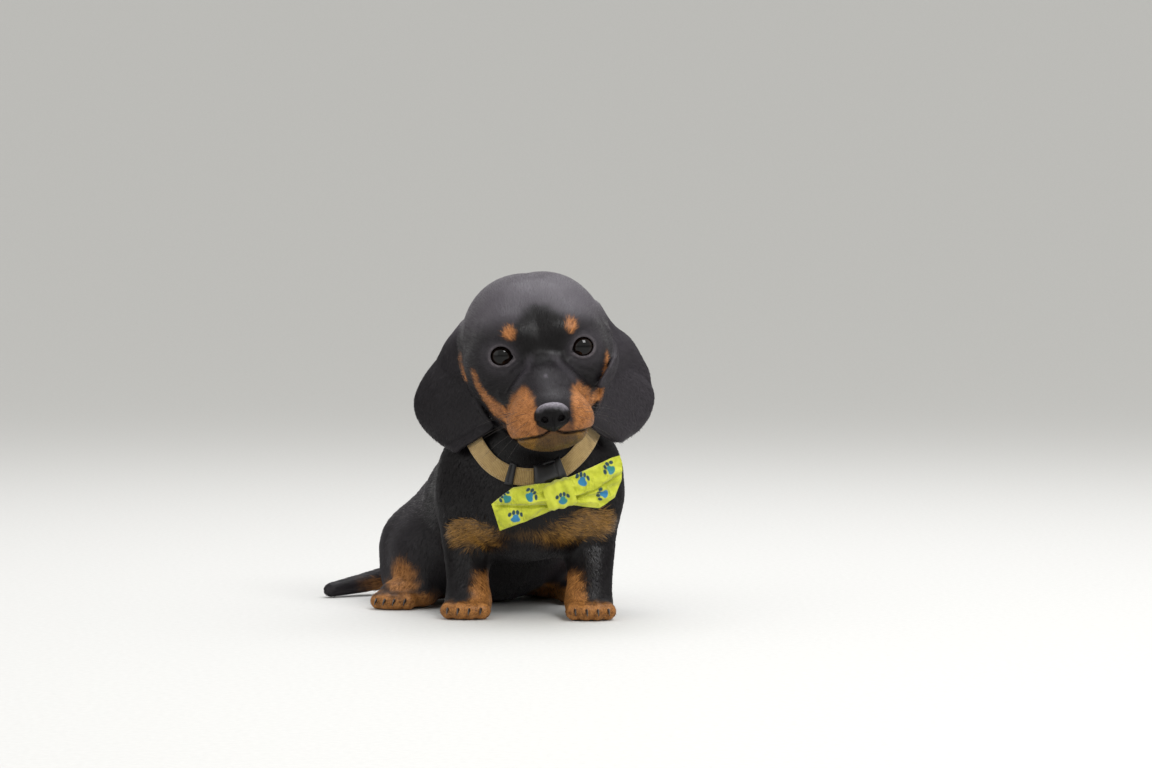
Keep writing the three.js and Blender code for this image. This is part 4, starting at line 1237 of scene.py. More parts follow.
def paw_print(x, z, prints):
    """How much of the pad and of the toes of a paw print covers points of the cloth."""
    pad = np.zeros(len(x))
    toe = np.zeros(len(x))
    for at_x, at_z, turn, size in prints:
        u, v = rotated(x - at_x, z - at_z, turn)
        u, v = u * 7 / size, v * 7 / size
        heel = np.hypot(u / 2.15, (v + 1.35) / 1.45)
        ball = np.hypot(u / 1.35, (v + 0.15) / 1.35)
        pad = np.maximum(pad, smooth(1.12, 0.88, np.minimum(heel, ball)))
        for k in TOES:
            a, b = rotated(u - k * 1.75, v - 2.15 + 0.62 * abs(k) ** 1.6, k * 16)
            toe = np.maximum(toe, smooth(1.15, 0.85, np.hypot(a / 0.78, b / 1.12)))
    return pad, toe


def wing_shape(side, rows=100, columns=80):
    """A wing of the bow: a pocket of cloth, gathered at the knot and folded along its middle. Gives
    its points, the place of each on the cloth, and where it is held by thread."""
    edges = WING_EDGES[side]
    s = SIDES[side]
    reach = edges["top"][-1][0]
    u = np.linspace(0, 1, rows)
    x = 3 + (reach - 3) * u
    top = np.interp(x, *zip(*edges["top"]))
    foot = np.interp(x, *zip(*edges["foot"]))
    t = np.linspace(0, 2 * math.pi, columns, endpoint=False)
    X, W = np.meshgrid(x, np.sin(t), indexing="ij")
    F = np.broadcast_to(np.cos(t), X.shape)
    Z = (top + foot)[:, None] / 2 + (top - foot)[:, None] / 2 * W
    U = np.broadcast_to(u[:, None], X.shape)
    front = F > 0
    thick = (1.1 + 2.4 * np.sin(math.pi * np.clip(U * 0.86 + 0.12, 0, 1))) * (1 - 0.72 * U**6)
    depth = thick * np.sign(F) * np.abs(F) ** 0.8
    path, lift = WING_FOLDS[side]
    off = Z - np.interp(X, *zip(*path))
    # A roll of cloth above the fold hangs over it, and the cloth dips sharply under it.
    swell = np.exp(-(((off - 2.8) / 2.4) ** 2)) - 1.0 * np.exp(-(((off + 0.5) / 0.8) ** 2))
    depth = depth + np.where(front, lift * swell * smooth(1.0, 0.85, U), 0)
    gathers = 1.1 * np.cos(W * 3.4 * math.pi + 0.8 * s) * (1 - U) ** 1.4 * (1 - W**4)
    small = 0.25 * np.sin(Z * 1.1 + X * 0.35 + s) * np.sin(X * 0.22) * (1 - U * 0.4)
    depth = depth + (gathers + small) * np.sign(F) * np.abs(F) ** 0.5
    bend = -0.9 - 3.2 * (X / reach) ** 2 * (1 if side == "left" else 0.35)
    points = np.stack([X * s, -depth - bend - 0.5, Z], -1)
    cloth = np.stack([X, Z, np.where(front, 1.0, 0.0)], -1)
    creased = front & (np.abs(off + 0.5) < 0.5) & (U < 0.9)
    held = (U < 0.08) | (np.abs(W) > 0.985) | (U > 0.985) | creased
    return points, cloth, held


def finer(grid):
    """A grid of points with a new one between each two, on a smooth curve through them. The
    second direction runs round."""
    ahead, behind, beyond = np.roll(grid, -1, 1), np.roll(grid, 1, 1), np.roll(grid, -2, 1)
    between_ = (9 * (grid + ahead) - behind - beyond) / 16
    grid = np.stack([grid, between_], 2).reshape(len(grid), -1, 3)
    ends = np.concatenate([2 * grid[:1] - grid[1:2], grid, 2 * grid[-1:] - grid[-2:-1]])
    between_ = (9 * (ends[1:-2] + ends[2:-1]) - ends[:-3] - ends[3:]) / 16
    rows = np.stack([grid[:-1], between_], 1).reshape(-1, *grid.shape[1:])
    return np.concatenate([rows, grid[-1:]])


def outwards(points, faces):
    """The faces turned so that the mesh holds a positive volume."""
    a, b, c = (points[faces[:, i]] for i in range(3))
    return faces if (a * np.cross(b, c)).sum() > 0 else faces[:, ::-1]


def puffed(points, faces, held):
    """The pocket blown up by its filling: a short cloth simulation on a copy twenty times as large,
    held where it is sewn. The cloth is cut a little too large, so it wrinkles."""
    me = bpy.data.meshes.new("pocket")
    me.from_pydata((points * MM * PUFF["scale"]).tolist(), [], faces.tolist())
    pocket = bpy.data.objects.new("pocket", me)
    bpy.context.scene.collection.objects.link(pocket)
    group = pocket.vertex_groups.new(name="held")
    for weight in (0.3, 1.0):
        chosen = np.nonzero(held >= weight)[0].tolist()
        group.add(chosen, weight, "REPLACE")
    cloth = pocket.modifiers.new("cloth", "CLOTH")
    cloth.settings.quality = 5
    cloth.settings.vertex_group_mass = "held"
    cloth.settings.tension_stiffness = 25
    cloth.settings.compression_stiffness = 25
    cloth.settings.bending_stiffness = 0.2
    cloth.settings.use_pressure = True
    cloth.settings.uniform_pressure_force = PUFF["pressure"]
    cloth.settings.shrink_min = PUFF["slack"]
    cloth.settings.effector_weights.gravity = 0
    for frame_number in range(1, PUFF["frames"] + 1):
        bpy.context.scene.frame_set(frame_number)
    done = pocket.evaluated_get(bpy.context.evaluated_depsgraph_get())
    moved = np.empty(len(points) * 3)
    done.data.vertices.foreach_get("co", moved)
    bpy.data.objects.remove(pocket)
    bpy.context.scene.frame_set(1)
    step = moved.reshape(-1, 3) / MM / PUFF["scale"] - points
    far = np.linalg.norm(step, axis=1)
    return points + step * np.minimum(1, PUFF["cap"] / np.maximum(far, 1e-6))[:, None]


def cloth_piece(name, grid, cloth, prints, shown, material):
    """A closed piece of the bow from a grid of points in its frame. The cloth gives the place of
    each point on the print, and shown is 1 where the print shows."""
    pad, toe = paw_print(cloth[:, 0], cloth[:, 1], prints)
    points, faces = capped(*grid.shape[:2], grid.reshape(-1, 3))
    points = BOW.out(points)
    ends = np.zeros(2)
    attributes = {
        "pad_print": np.append(pad * shown, ends),
        "toe_print": np.append(toe * shown, ends),
        "cloth": np.vstack([cloth, cloth[:2]]),
    }
    return mesh_piece(name, points, outwards(points, faces), material, attributes)


def make_wing(side, material):
    """A wing of the bow, puffed up, with its print."""
    points, cloth, held = wing_shape(side)
    rows, columns = held.shape
    pocket, faces = capped(rows, columns, points.reshape(-1, 3))
    pocket = puffed(pocket, faces, np.append(held * 1.0, (1, 0)))
    grid = finer(pocket[: rows * columns].reshape(rows, columns, 3))
    cloth = finer(cloth).reshape(-1, 3)
    return cloth_piece(f"bow_cloth_{side}", grid, cloth, PRINTS[side], 1, material)


def make_knot(material):
    """The band round the middle of the bow, creased across by the pull of the wings."""
    rows, columns = 120, 200
    w, d, h = KNOT
    u = np.linspace(-1, 1, rows)
    t = (np.arange(columns) + 0.5) / columns * 2 * math.pi
    U, T = np.meshgrid(u, t, indexing="ij")
    c, s = np.cos(T), np.sin(T)
    round_ = (c**4 + s**4) ** -0.25
    swell = 1 - 0.12 * np.abs(U) ** 3
    crease = 0.55 * np.cos(U * 8.5 + 0.6 * np.sin(3 * T)) * smooth(1, 0.5, np.abs(U))
    deep = (d / 2 + crease) * swell
    high = (h / 2 + 0.5 * crease) * swell * (1 + 0.05 * U)
    grid = np.stack([U * w / 2 * (1 - 0.06 * s * s), -deep * c * round_, high * s * round_], -1)
    x, y, z = grid.reshape(-1, 3).T
    cloth = np.column_stack([x, z, y < 0])
    return cloth_piece("bow_knot_cloth", grid, cloth, PRINTS["knot"], y < 0, material)


# The coat
# Tufts on the ears and on the feet: how many to a square millimetre, length, width and lift
EAR_STYLE = (2.0, 3.4, 0.42, 0.42)
FOOT_STYLE = (2.6, 2.6, 0.33, 0.45)


def level(v):
    """Vectors made one long."""
    return v / np.maximum(np.linalg.norm(v, axis=1), 1e-9)[:, None]


def mixed(a, b, share):
    """Vectors turned from one way to another by a share."""
    return a * (1 - share)[:, None] + b * share[:, None]


def along_skin(way, normal):
    """Ways made flat to the skin and one long."""
    return level(way - normal * (way * normal).sum(1)[:, None])


def vectors(x, y, z):
    """Vectors from three columns, each an array or one number for all."""
    return np.column_stack(np.broadcast_arrays(x, y, z))


def near_paw(q, wide, back, high):
    """1 at a paw and 0 off it, in its own frame, with soft bounds."""
    near = smooth(*wide, np.abs(q[:, 0])) * smooth(*back, q[:, 1]) * smooth(*high, q[:, 2])
    return near * smooth(-32, -28, q[:, 1])


def chest_patch(p, grown):
    """1 on the two tan patches of the chest, made larger, and 0 off them."""
    return np.max([spot(p, at, np.array(size) * grown) for at, size, _ in CHEST_PATCHES[:2]], axis=0)


def off_flesh(p):
    """1 on the ears, which hang clear of the head, and 0 on the head itself."""
    return smooth(0.7, 1.7, flesh(p))


def lie_of_head(p):
    """The way the hair lies on the head: back from the nose, round the eyes, down the ears."""
    q = HEAD.into(p)
    way = level(q - HAIR_FROM)
    way[:, 2] -= 1.3 * smooth(0, 34, q[:, 1])
    for eye in EYES.values():
        from_eye = q - HEAD.into(eye.at[None])
        near = 0.55 * smooth(15, 8, np.linalg.norm(from_eye, axis=1))
        way = mixed(way, level(from_eye), near)
    side = np.sign(q[:, 0])
    chin = vectors(0.2 * side, 1, -0.4)
    way = mixed(way, chin, smooth(-40, -46, q[:, 2]) * smooth(-20, -30, q[:, 1]))
    throat = np.array([[0, 0.3, -1]])
    way = mixed(way, throat, smooth(-44, -52, q[:, 2]) * smooth(-34, -26, q[:, 1]))
    way = mixed(level(way), level(vectors(0.25 * side, 0.3, -1)), off_flesh(p))
    return way @ HEAD.turn.T


def lie_of_body(p):
    """The way the hair lies on the body: down the chest and legs, and back along the trunk."""
    side = np.where(p[:, 0] > 2, 1.0, -1.0)
    out = smooth(0, 30, np.abs(p[:, 0] - 2)) * side
    chest = level(vectors(0.45 * out, -0.05, -1))
    back = level(np.array([[-0.15, 1, -0.75]]))
    legs = level(np.array([[0, 0.3, -1]]))
    way = mixed(chest, back, smooth(-16, 14, p[:, 1]))
    way = mixed(way, legs, smooth(56, 34, p[:, 2]))
    sweep = level(vectors(side, 0.3, 0.1 * side - 0.25))
    way = mixed(way, sweep, 0.85 * chest_patch(p, 1.15))
    for place in PAWS:
        near = near_paw(place.into(p), (22, 18), (10, 2), (20, 12))
        forward = place.turn @ np.array((0, -1, -0.25))
        way = mixed(way, level(forward[None]), near)
    for a, b in zip(TAIL, TAIL[1:]):
        a, b = np.array(a), np.array(b)
        near = smooth(b[3] + 6, b[3] + 2, limb(a[:3], a[3], b[:3], b[3])(p) + b[3])
        way = mixed(way, level((b - a)[None, :3]), near)
    return level(way)


def bare(p, normal, is_head):
    """Where no hair grows: eyes, nose and lips, under the collar, and what stands on the floor."""
    none = (np.abs(collar_height(p)) < 1.0) & (flesh(p) < 1.2)
    if is_head:
        q = HEAD.into(p)
        for side, s in SIDES.items():
            e = EYES[side].into(p)
            none |= (eye_opening(e, s) < 0.95) & (np.linalg.norm(e, axis=1) < 12)
        none |= nose_field(pierced=False)(NOSE.into(p)) < 0.25
        lips = np.abs(q[:, 2] - mouth_height(q[:, 0])) < 0.8
        none |= lips & (q[:, 1] < -33) & (np.abs(q[:, 0]) < 24)
    else:
        none |= (normal[:, 2] < -0.45) & (p[:, 2] < 4)
    return none


def styled(style, other, share):
    """A style of tufts turned into another by a share."""
    return [a * (1 - share) + b * share for a, b in zip(style, other)]


def coat_style(p, is_head):
    """The tufts that root at points: how many to a square millimetre, length, width and lift."""
    if is_head:
        away = np.linalg.norm(HEAD.into(p) - np.array((0, -70, -36)), axis=1)
        crown = smooth(40, 85, away)
        off_nose = smooth(10, 40, away)
        style = (
            4.6 - 0.9 * off_nose - 1.1 * crown,
            1.7 + 0.9 * off_nose + 1.6 * crown,
            0.26 + 0.07 * off_nose + 0.10 * crown,
            0.38 + 0.14 * crown,
        )
        return styled(style, EAR_STYLE, off_flesh(p))
    patch = chest_patch(p, 1.1)
    foot = np.zeros(len(p))
    for place in PAWS:
        foot = np.maximum(foot, near_paw(place.into(p), (24, 18), (16, 8), (20, 13)))
    leg = smooth(40, 26, p[:, 2]) * (1 - foot)
    style = (
        1.4 + 0.6 * patch + 0.3 * leg,
        6.2 + 3.2 * patch - 1.6 * leg,
        0.55 - 0.05 * leg,
        0.85 + 1.1 * patch,
    )
    return styled(style, FOOT_STYLE, foot)


# The corners of a tuft: along its length, across it, above its middle; and its triangles. A long
# tuft bends in the middle, and a short one is a plain spike.
LONG_TUFT = (
    (
        *((0, -0.35, -0.3), (0, 0.35, -0.3), (0, 0, 0.3)),
        *((1, -0.5, -0.3), (1, 0.5, -0.3), (1, 0, 0.5), (2, 0, 0)),
    ),
    (
        *((0, 1, 2), (0, 2, 5), (0, 5, 3), (1, 4, 5), (1, 5, 2), (0, 3, 4), (0, 4, 1)),
        *((3, 5, 6), (4, 6, 5), (3, 6, 4)),
    ),
)
SHORT_TUFT = (
    ((0, -0.5, -0.3), (0, 0.5, -0.3), (0, 0, 0.5), (2, 0, 0)),
    ((0, 1, 2), (0, 2, 3), (1, 3, 2), (0, 3, 1)),
)
# The size of a tuft's own patch on the map
PATCH = 0.003
# The most that a tuft's point is moved to its height above the skin, in millimetres
NUDGE = 0.8


def scattered(points, faces, is_head, rng):
    """Roots of tufts spread over the skin: the triangle each is in, and its place in it."""
    a, b, c = (points[faces[:, i]] for i in range(3))
    cross = np.cross(b - a, c - a)
    middle = (a + b + c) / 3
    many = coat_style(middle, is_head)[0]
    many[bare(middle, level(cross), is_head)] = 0
    total = np.cumsum(many * np.linalg.norm(cross, axis=1) / 2)
    count = int(total[-1])
    triangle = np.searchsorted(total, (np.arange(count) + rng.random(count)) * total[-1] / count)
    r, s = rng.random((2, count))
    turned = r + s > 1
    r, s = np.where(turned, 1 - r, r), np.where(turned, 1 - s, s)
    return np.minimum(triangle, len(faces) - 1), np.column_stack([1 - r - s, r, s])


def laid(lattice, root, way, length, heights):
    """Tufts laid along the skin from root to tip, at heights above it. Gives for each step the
    place, the way out of the skin, the way along the tuft and the way across it."""
    rows = []
    p = root
    for i, height in enumerate(heights):
        if i:
            p = p + way * (length / (len(heights) - 1))[:, None]
        for _ in range(2 if i else 1):
            normal = lattice.slope(p)
            p = p + normal * np.clip(height - lattice.at(p), -NUDGE, NUDGE)[:, None]
        way = along_skin(way, normal)
        rows.append((p, normal, way, np.cross(way, normal)))
    return rows


def make_coat(name, mesh, lattice, is_head, shape, material, uv, marks, pieces):
    """Tufts of hair all over a part of the skin, as closed meshes that lie along it."""
    points, faces = mesh
    corners, triangles = shape
    size = len(corners)
    rng = np.random.default_rng(SEED + is_head)
    triangle, weights = scattered(points, faces, is_head, rng)
    count = len(triangle)
    root = (points[faces[triangle]] * weights[:, :, None]).sum(1)
    at_uv = (uv[triangle] * weights[:, :, None]).sum(1)
    marked = {key: (values[faces[triangle]] * weights).sum(1) for key, values in marks.items()}
    _, length, width, lift = coat_style(root, is_head)
    length *= 0.75 + 0.5 * rng.random(count)
    width *= 0.8 + 0.4 * rng.random(count)
    lift *= 0.6 + 0.6 * rng.random(count)
    way = lie_of_head(root) if is_head else lie_of_body(root)
    normal = lattice.slope(root)
    lean = 0.30 * rng.standard_normal(count) + 0.22 * ragged_noise(root, 5.0)
    way = along_skin(way, normal)
    way = level(way + np.cross(normal, way) * np.clip(lean, -0.8, 0.8)[:, None])
    rows = laid(lattice, root, way, length, (-0.1, lift) if is_head else (-0.12, 0.5 * lift, lift))
    made, normals = [], []
    for step, across, up in corners:
        at, normal, way, side = rows[min(step, len(rows) - 1)]
        made.append(at + side * (across * width)[:, None] + normal * (up * width * 0.7)[:, None])
        normals.append(level(normal + side * (0.9 * across) + way * (0.25 if step == 2 else 0)))
    made = np.stack(made, 1)
    normals = np.stack(normals, 1)
    marked["vary"] = rng.random(count)
    along = np.array([corner[0] / 2 for corner in corners])
    spread = np.array([(across * 0.8, step - 1 + 0.2 * up) for step, across, up in corners])
    made_uv = at_uv[:, None, :] + spread * PATCH / 2
    order = np.argsort(root[:, 0] if is_head else root[:, 1] + 0.4 * root[:, 0])
    result = []
    for k, part in enumerate(np.array_split(order, pieces)):
        starts = np.arange(len(part)) * size
        tris = (np.array(triangles)[None] + starts[:, None, None]).reshape(-1, 3)
        attributes = {key: np.repeat(values[part], size) for key, values in marked.items()}
        attributes["along"] = np.tile(along, len(part))
        piece = mesh_piece(f"{name}_{k + 1}", made[part].reshape(-1, 3), tris, material, attributes)
        on_map = made_uv[part].reshape(-1, 2)[tris.ravel()].astype(np.float32)
        piece.data.uv_layers.new(name="OFBake").data.foreach_set("uv", on_map.ravel())
        piece.data.normals_split_custom_set_from_vertices(normals[part].reshape(-1, 3))
        result.append(piece)
    return result


def unwrapped(piece):
    """The skin's own unwrap: for each triangle, its three places on the map."""
    bpy.context.view_layer.objects.active = piece
    piece.select_set(True)
    piece.data.uv_layers.new(name="OFBake")
    bpy.ops.object.mode_set(mode="EDIT")
    bpy.ops.mesh.select_all(action="SELECT")
    bpy.ops.uv.smart_project(angle_limit=math.radians(66), island_margin=0.002)
    bpy.ops.object.mode_set(mode="OBJECT")
    piece.select_set(False)
    uv = np.empty(len(piece.data.loops) * 2, np.float32)
    piece.data.uv_layers["OFBake"].data.foreach_get("uv", uv)
    return uv.reshape(-1, 3, 2)


# The finishes. Each starts from what the real surface is. Noise has features about 1 / scale metres
# across, and a relief's distance is in metres.
BLACK_HAIR = ("#050405", "#171415")
# A greyish colour painted into the black hair, mostly as painted sheen
GREY_AND_SHEEN_COLOUR = "#615c63"
RUST_HAIR = ("#5f3316", "#d89358")
OLIVE_HAIR = ("#2b1b05", "#b68640")
SHEEN = {"Sheen Weight": 0.04, "Sheen Roughness": 0.4, "Sheen Tint": linear("#a09aa8")}


def hair_colour(tree, light):
    """The dog's markings from the marks kept on the mesh; light is from 0, deep, to 1, sunlit.
    Locks a few millimetres wide lie a little lighter or darker than their neighbours."""
    place = add(tree, COORDINATES, out="Object")
    locks = add(tree, NOISE, {"Vector": place, "Scale": 330, "Detail": 3, "Roughness": 0.6})
    locks = add(tree, RANGE, {"Value": locks, "To Min": -0.45, "To Max": 0.45})
    light = add(tree, MATH, {0: light, 1: locks}, operation="ADD", use_clamp=True)
    black, rust, olive = (
        add(tree, MIX, {0: light, 6: linear(deep), 7: linear(sunlit)}, **COLOURS)
        for deep, sunlit in (BLACK_HAIR, RUST_HAIR, OLIVE_HAIR)
    )
    grey_and_sheen, is_olive, is_tan = (
        add(tree, ATTRIBUTE, out="Fac", attribute_name=mark) for mark in ("grey_and_sheen", "olive", "tan")
    )
    # The greyish mark paints sheen into the black hair, and paler hair round the eyes and on the muzzle.
    grey_and_sheen_share = add(tree, MATH, {0: grey_and_sheen, 1: 0.70}, operation="MULTIPLY", use_clamp=True)
    black = add(tree, MIX, {0: grey_and_sheen_share, 6: black, 7: linear(GREY_AND_SHEEN_COLOUR)}, **COLOURS)
    tan = add(tree, MIX, {0: is_olive, 6: rust, 7: olive}, **COLOURS)
    return add(tree, MIX, {0: is_tan, 6: black, 7: tan}, **COLOURS)


def skin_finish():
    """Short satin hair lying flat on skin: streaks of hair a third of a millimetre wide, drawn as
    bump along the comb of the coat. Lids and lips are bare dark skin with a wet edge."""
    material, tree = finish_of("short_hair_on_skin")
    comb = add(tree, ATTRIBUTE, out="Vector", attribute_name="comb")
    streak = add(tree, NOISE, {"Vector": comb, "Scale": 2600, "Detail": 4, "Roughness": 0.6})
    clump = add(tree, NOISE, {"Vector": comb, "Scale": 700, "Detail": 3})
    uneven = add(tree, RANGE, {"Value": clump, "To Min": -0.35, "To Max": 0.35})
    light = add(tree, MATH, {0: streak, 1: uneven}, operation="ADD", use_clamp=True)
    bare_skin = add(tree, RAMP, {"Fac": light}, stops=((0.2, "#322e30"), (0.8, "#6b6569")))
    lid = add(tree, ATTRIBUTE, out="Fac", attribute_name="lid")
    colour = add(tree, MIX, {0: lid, 6: hair_colour(tree, light), 7: bare_skin}, **COLOURS)
    wet = add(tree, ATTRIBUTE, out="Fac", attribute_name="lip")
    under = add(tree, BUMP, {"Height": clump, "Distance": 0.0006, "Strength": 0.35})
    hairs = {"Height": streak, "Distance": 0.00025, "Strength": 0.7, "Normal": under}
    inputs = {
        "Base Color": add(tree, MIX, {0: wet, 6: colour, 7: linear("#0b0708")}, **COLOURS),
        "Roughness": add(tree, RANGE, {"Value": wet, "To Min": 0.46, "To Max": 0.28}),
        "Normal": add(tree, BUMP, hairs),
        "Specular IOR Level": 0.13,
    }
    return finished(material, {**inputs, **SHEEN})


def hair_finish():
    """Smooth-coated hound hair, satin: each tuft is a little lighter or darker than the next and
    pales towards its tip."""
    material, tree = finish_of("satin_hair")
    vary = add(tree, ATTRIBUTE, out="Fac", attribute_name="vary")
    vary = add(tree, RANGE, {"Value": vary, "To Min": 0.05, "To Max": 0.75})
    pale = add(tree, ATTRIBUTE, out="Fac", attribute_name="along")
    pale = add(tree, RANGE, {"Value": pale, "To Min": -0.15, "To Max": 0.25})
    light = add(tree, MATH, {0: vary, 1: pale}, operation="ADD", use_clamp=True)
    inputs = {"Base Color": hair_colour(tree, light), "Roughness": 0.33, "Specular IOR Level": 0.23}
    return finished(material, {**inputs, **SHEEN})


def nose_finish():
    """Moist black nose leather: pebbles 0.8 mm across, each domed, which break up the light. Its
    upward-facing top is painted paler, partly as dry dust and partly as a painted highlight."""
    material, tree = finish_of("nose_leather")
    place = add(tree, COORDINATES, out="Object")
    cells = {"Vector": place, "Scale": 1250}
    cells = add(tree, "ShaderNodeTexVoronoi", cells, out="Distance", feature="DISTANCE_TO_EDGE")
    pebble = add(tree, MATH, {0: cells, 1: 2.2}, operation="MULTIPLY", use_clamp=True)
    speck = add(tree, NOISE, {"Vector": place, "Scale": 900, "Detail": 4})
    moist = add(tree, RAMP, {"Fac": speck}, stops=((0.3, "#040304"), (0.7, "#0d0b0c")))
    # Pale greyish top: dust, and a painted highlight
    dust_and_highlight = add(tree, RAMP, {"Fac": speck}, stops=((0.3, "#67636a"), (0.7, "#8b868e")))
    dry_and_lit_top = add(tree, ATTRIBUTE, out="Fac", attribute_name="dry_and_lit_top")
    inputs = {
        "Base Color": add(tree, MIX, {0: dry_and_lit_top, 6: moist, 7: dust_and_highlight}, **COLOURS),
        "Roughness": add(tree, RANGE, {"Value": speck, "To Min": 0.30, "To Max": 0.48}),
        "Normal": add(tree, BUMP, {"Height": pebble, "Distance": 0.00022, "Strength": 0.55}),
        "Specular IOR Level": 0.09,
        "Coat Weight": 0.1,
        "Coat Roughness": 0.2,
    }
    return finished(material, inputs)


def eye_finish():
    """A wet dark-brown eye: clear cornea over a brown iris with fine rays and a wide black pupil."""
    material, tree = finish_of("wet_eye")
    off = add(tree, ATTRIBUTE, out="Fac", attribute_name="off_axis")
    place = add(tree, COORDINATES, out="Object")
    rays = add(tree, NOISE, {"Vector": place, "Scale": 1800, "Detail": 3})
    rays = add(tree, RANGE, {"Value": rays, "To Min": -0.03, "To Max": 0.03})
    ring = add(tree, MATH, {0: off, 1: rays}, operation="ADD")
    pupil = ((0.0, "#010101"), (0.40, "#020101"))
    iris = ((0.46, "#0d0604"), (0.60, "#120804"))
    white = ((0.72, "#050303"), (0.90, "#0b0807"))
    inputs = {
        "Base Color": add(tree, RAMP, {"Fac": ring}, stops=pupil + iris + white),
        "Roughness": 0.3,
        "Specular IOR Level": 0.0,
        "Coat Weight": 0.9,
        "Coat Roughness": 0.02,
        "Coat IOR": 1.376,
    }
    return finished(material, inputs)


def claw_finish():
    """Dark horn, smooth and slightly waxy, in paler and darker bands."""
    material, tree = finish_of("claw_horn")
    place = add(tree, COORDINATES, out="Object")
    band = add(tree, NOISE, {"Vector": place, "Scale": 600, "Detail": 2})
    inputs = {
        "Base Color": add(tree, RAMP, {"Fac": band}, stops=((0.35, "#14100f"), (0.7, "#382c26"))),
        "Roughness": 0.34,
        "IOR": 1.54,
        "Normal": add(tree, BUMP, {"Height": band, "Distance": 0.0002, "Strength": 0.3}),
    }
    return finished(material, inputs)


def threads(tree, along, pitch):
    """Threads side by side along a number, from -1 between them to 1 on top of each."""
    turns = add(tree, MATH, {0: along, 1: 2 * math.pi / pitch}, operation="MULTIPLY")
    return add(tree, MATH, {0: turns, 1: 0}, operation="SINE")


def webbing_finish():
    """Woven polyester webbing in tan: fine ribs across it, with the warp over and under them. The raised
    threads are painted lighter and the hollows between them darker, as painted shade.
    """
    material, tree = finish_of("woven_webbing")
    along = add(tree, ATTRIBUTE, out="Fac", attribute_name="along_web")
    across = add(tree, ATTRIBUTE, out="Fac", attribute_name="across_web")
    rib = threads(tree, along, RIB_PITCH)
    warp = threads(tree, across, WARP_PITCH)
    weave = add(tree, MATH, {0: rib, 1: warp}, operation="MULTIPLY")
    flat_rib = add(tree, MATH, {0: rib, 1: 0.6}, operation="MULTIPLY")
    height = add(tree, MATH, {0: flat_rib, 1: weave}, operation="ADD")
    place = add(tree, COORDINATES, out="Object")
    soil = add(tree, NOISE, {"Vector": place, "Scale": 260, "Detail": 4})
    soil = add(tree, RANGE, {"Value": soil, "To Min": 0.1, "To Max": 0.8})
    # Painted shade: the colour follows the threads' height, lighter on top, darker between.
    painted_thread_shade = add(tree, MATH, {0: height, 1: 0.28}, operation="MULTIPLY")
    light = add(tree, MATH, {0: soil, 1: painted_thread_shade}, operation="ADD", use_clamp=True)
    tans = ((0.0, "#735a30"), (0.45, "#a98b52"), (1.0, "#cfb47c"))
    inputs = {
        "Base Color": add(tree, RAMP, {"Fac": light}, stops=tans),
        "Roughness": 0.72,
        "Sheen Weight": 0.25,
        "Sheen Roughness": 0.5,
        "Normal": add(tree, BUMP, {"Height": height, "Distance": 0.0003, "Strength": 0.6}),
    }
    return finished(material, inputs)


def plastic_finish():
    """Black acetal, moulded with a fine matt grain and worn smooth in places."""
    material, tree = finish_of("moulded_acetal")
    place = add(tree, COORDINATES, out="Object")
    grain = add(tree, NOISE, {"Vector": place, "Scale": 5200, "Detail": 2})
    haze = add(tree, NOISE, {"Vector": place, "Scale": 220, "Detail": 3})
    inputs = {
        "Base Color": add(tree, RAMP, {"Fac": haze}, stops=((0.3, "#0c0c0d"), (0.75, "#1a1a1c"))),
        "Roughness": add(tree, RANGE, {"Value": haze, "To Min": 0.34, "To Max": 0.5}),
        "IOR": 1.48,
        "Normal": add(tree, BUMP, {"Height": grain, "Distance": 0.00012, "Strength": 0.35}),
    }
    return finished(material, inputs)


def cloth_finish():
    """Printed plain-weave cotton, lime yellow, with paw prints in blue and navy. The threads are drawn
    coarser than real ones, so that they show, and painted a little lighter on top than between, as painted
    shade."""
    material, tree = finish_of("printed_cotton")
    cloth = add(tree, ATTRIBUTE, out="Vector", attribute_name="cloth")
    warp, weft = (
        threads(tree, add(tree, "ShaderNodeSeparateXYZ", {"Vector": cloth}, out=axis), COTTON_PITCH)
        for axis in (0, 1)
    )
    weave = add(tree, MATH, {0: warp, 1: weft}, operation="MULTIPLY")
    place = add(tree, COORDINATES, out="Object")
    fade = add(tree, NOISE, {"Vector": place, "Scale": 130, "Detail": 4})
    # Painted shade: the colour follows the weave's height, lighter on top, darker between.
    painted_thread_shade = add(tree, MATH, {0: weave, 1: 0.07}, operation="MULTIPLY")
    light = add(tree, MATH, {0: fade, 1: painted_thread_shade}, operation="ADD")
    limes = ((0.25, "#a0a81e"), (0.5, "#c6cc33"), (0.8, "#dbde55"))
    colour = add(tree, RAMP, {"Fac": light}, stops=limes)
    patches = add(tree, NOISE, {"Vector": place, "Scale": 55, "Detail": 1})
    blue = add(tree, RAMP, {"Fac": patches}, stops=((0.42, "#1f7b78"), (0.56, "#2b7fb0")))
    for mark, ink in (("pad_print", blue), ("toe_print", linear("#173e4c"))):
        printed = add(tree, ATTRIBUTE, out="Fac", attribute_name=mark)
        colour = add(tree, MIX, {0: printed, 6: colour, 7: ink}, **COLOURS)
    under = add(tree, BUMP, {"Height": fade, "Distance": 0.0012, "Strength": 0.25})
    woven = {"Height": weave, "Distance": 0.00015, "Strength": 0.5, "Normal": under}
    inputs = {
        "Base Color": colour,
        "Roughness": 0.78,
        "Sheen Weight": 0.3,
        "Sheen Roughness": 0.45,
        "Normal": add(tree, BUMP, woven),
    }
    return finished(material, inputs)


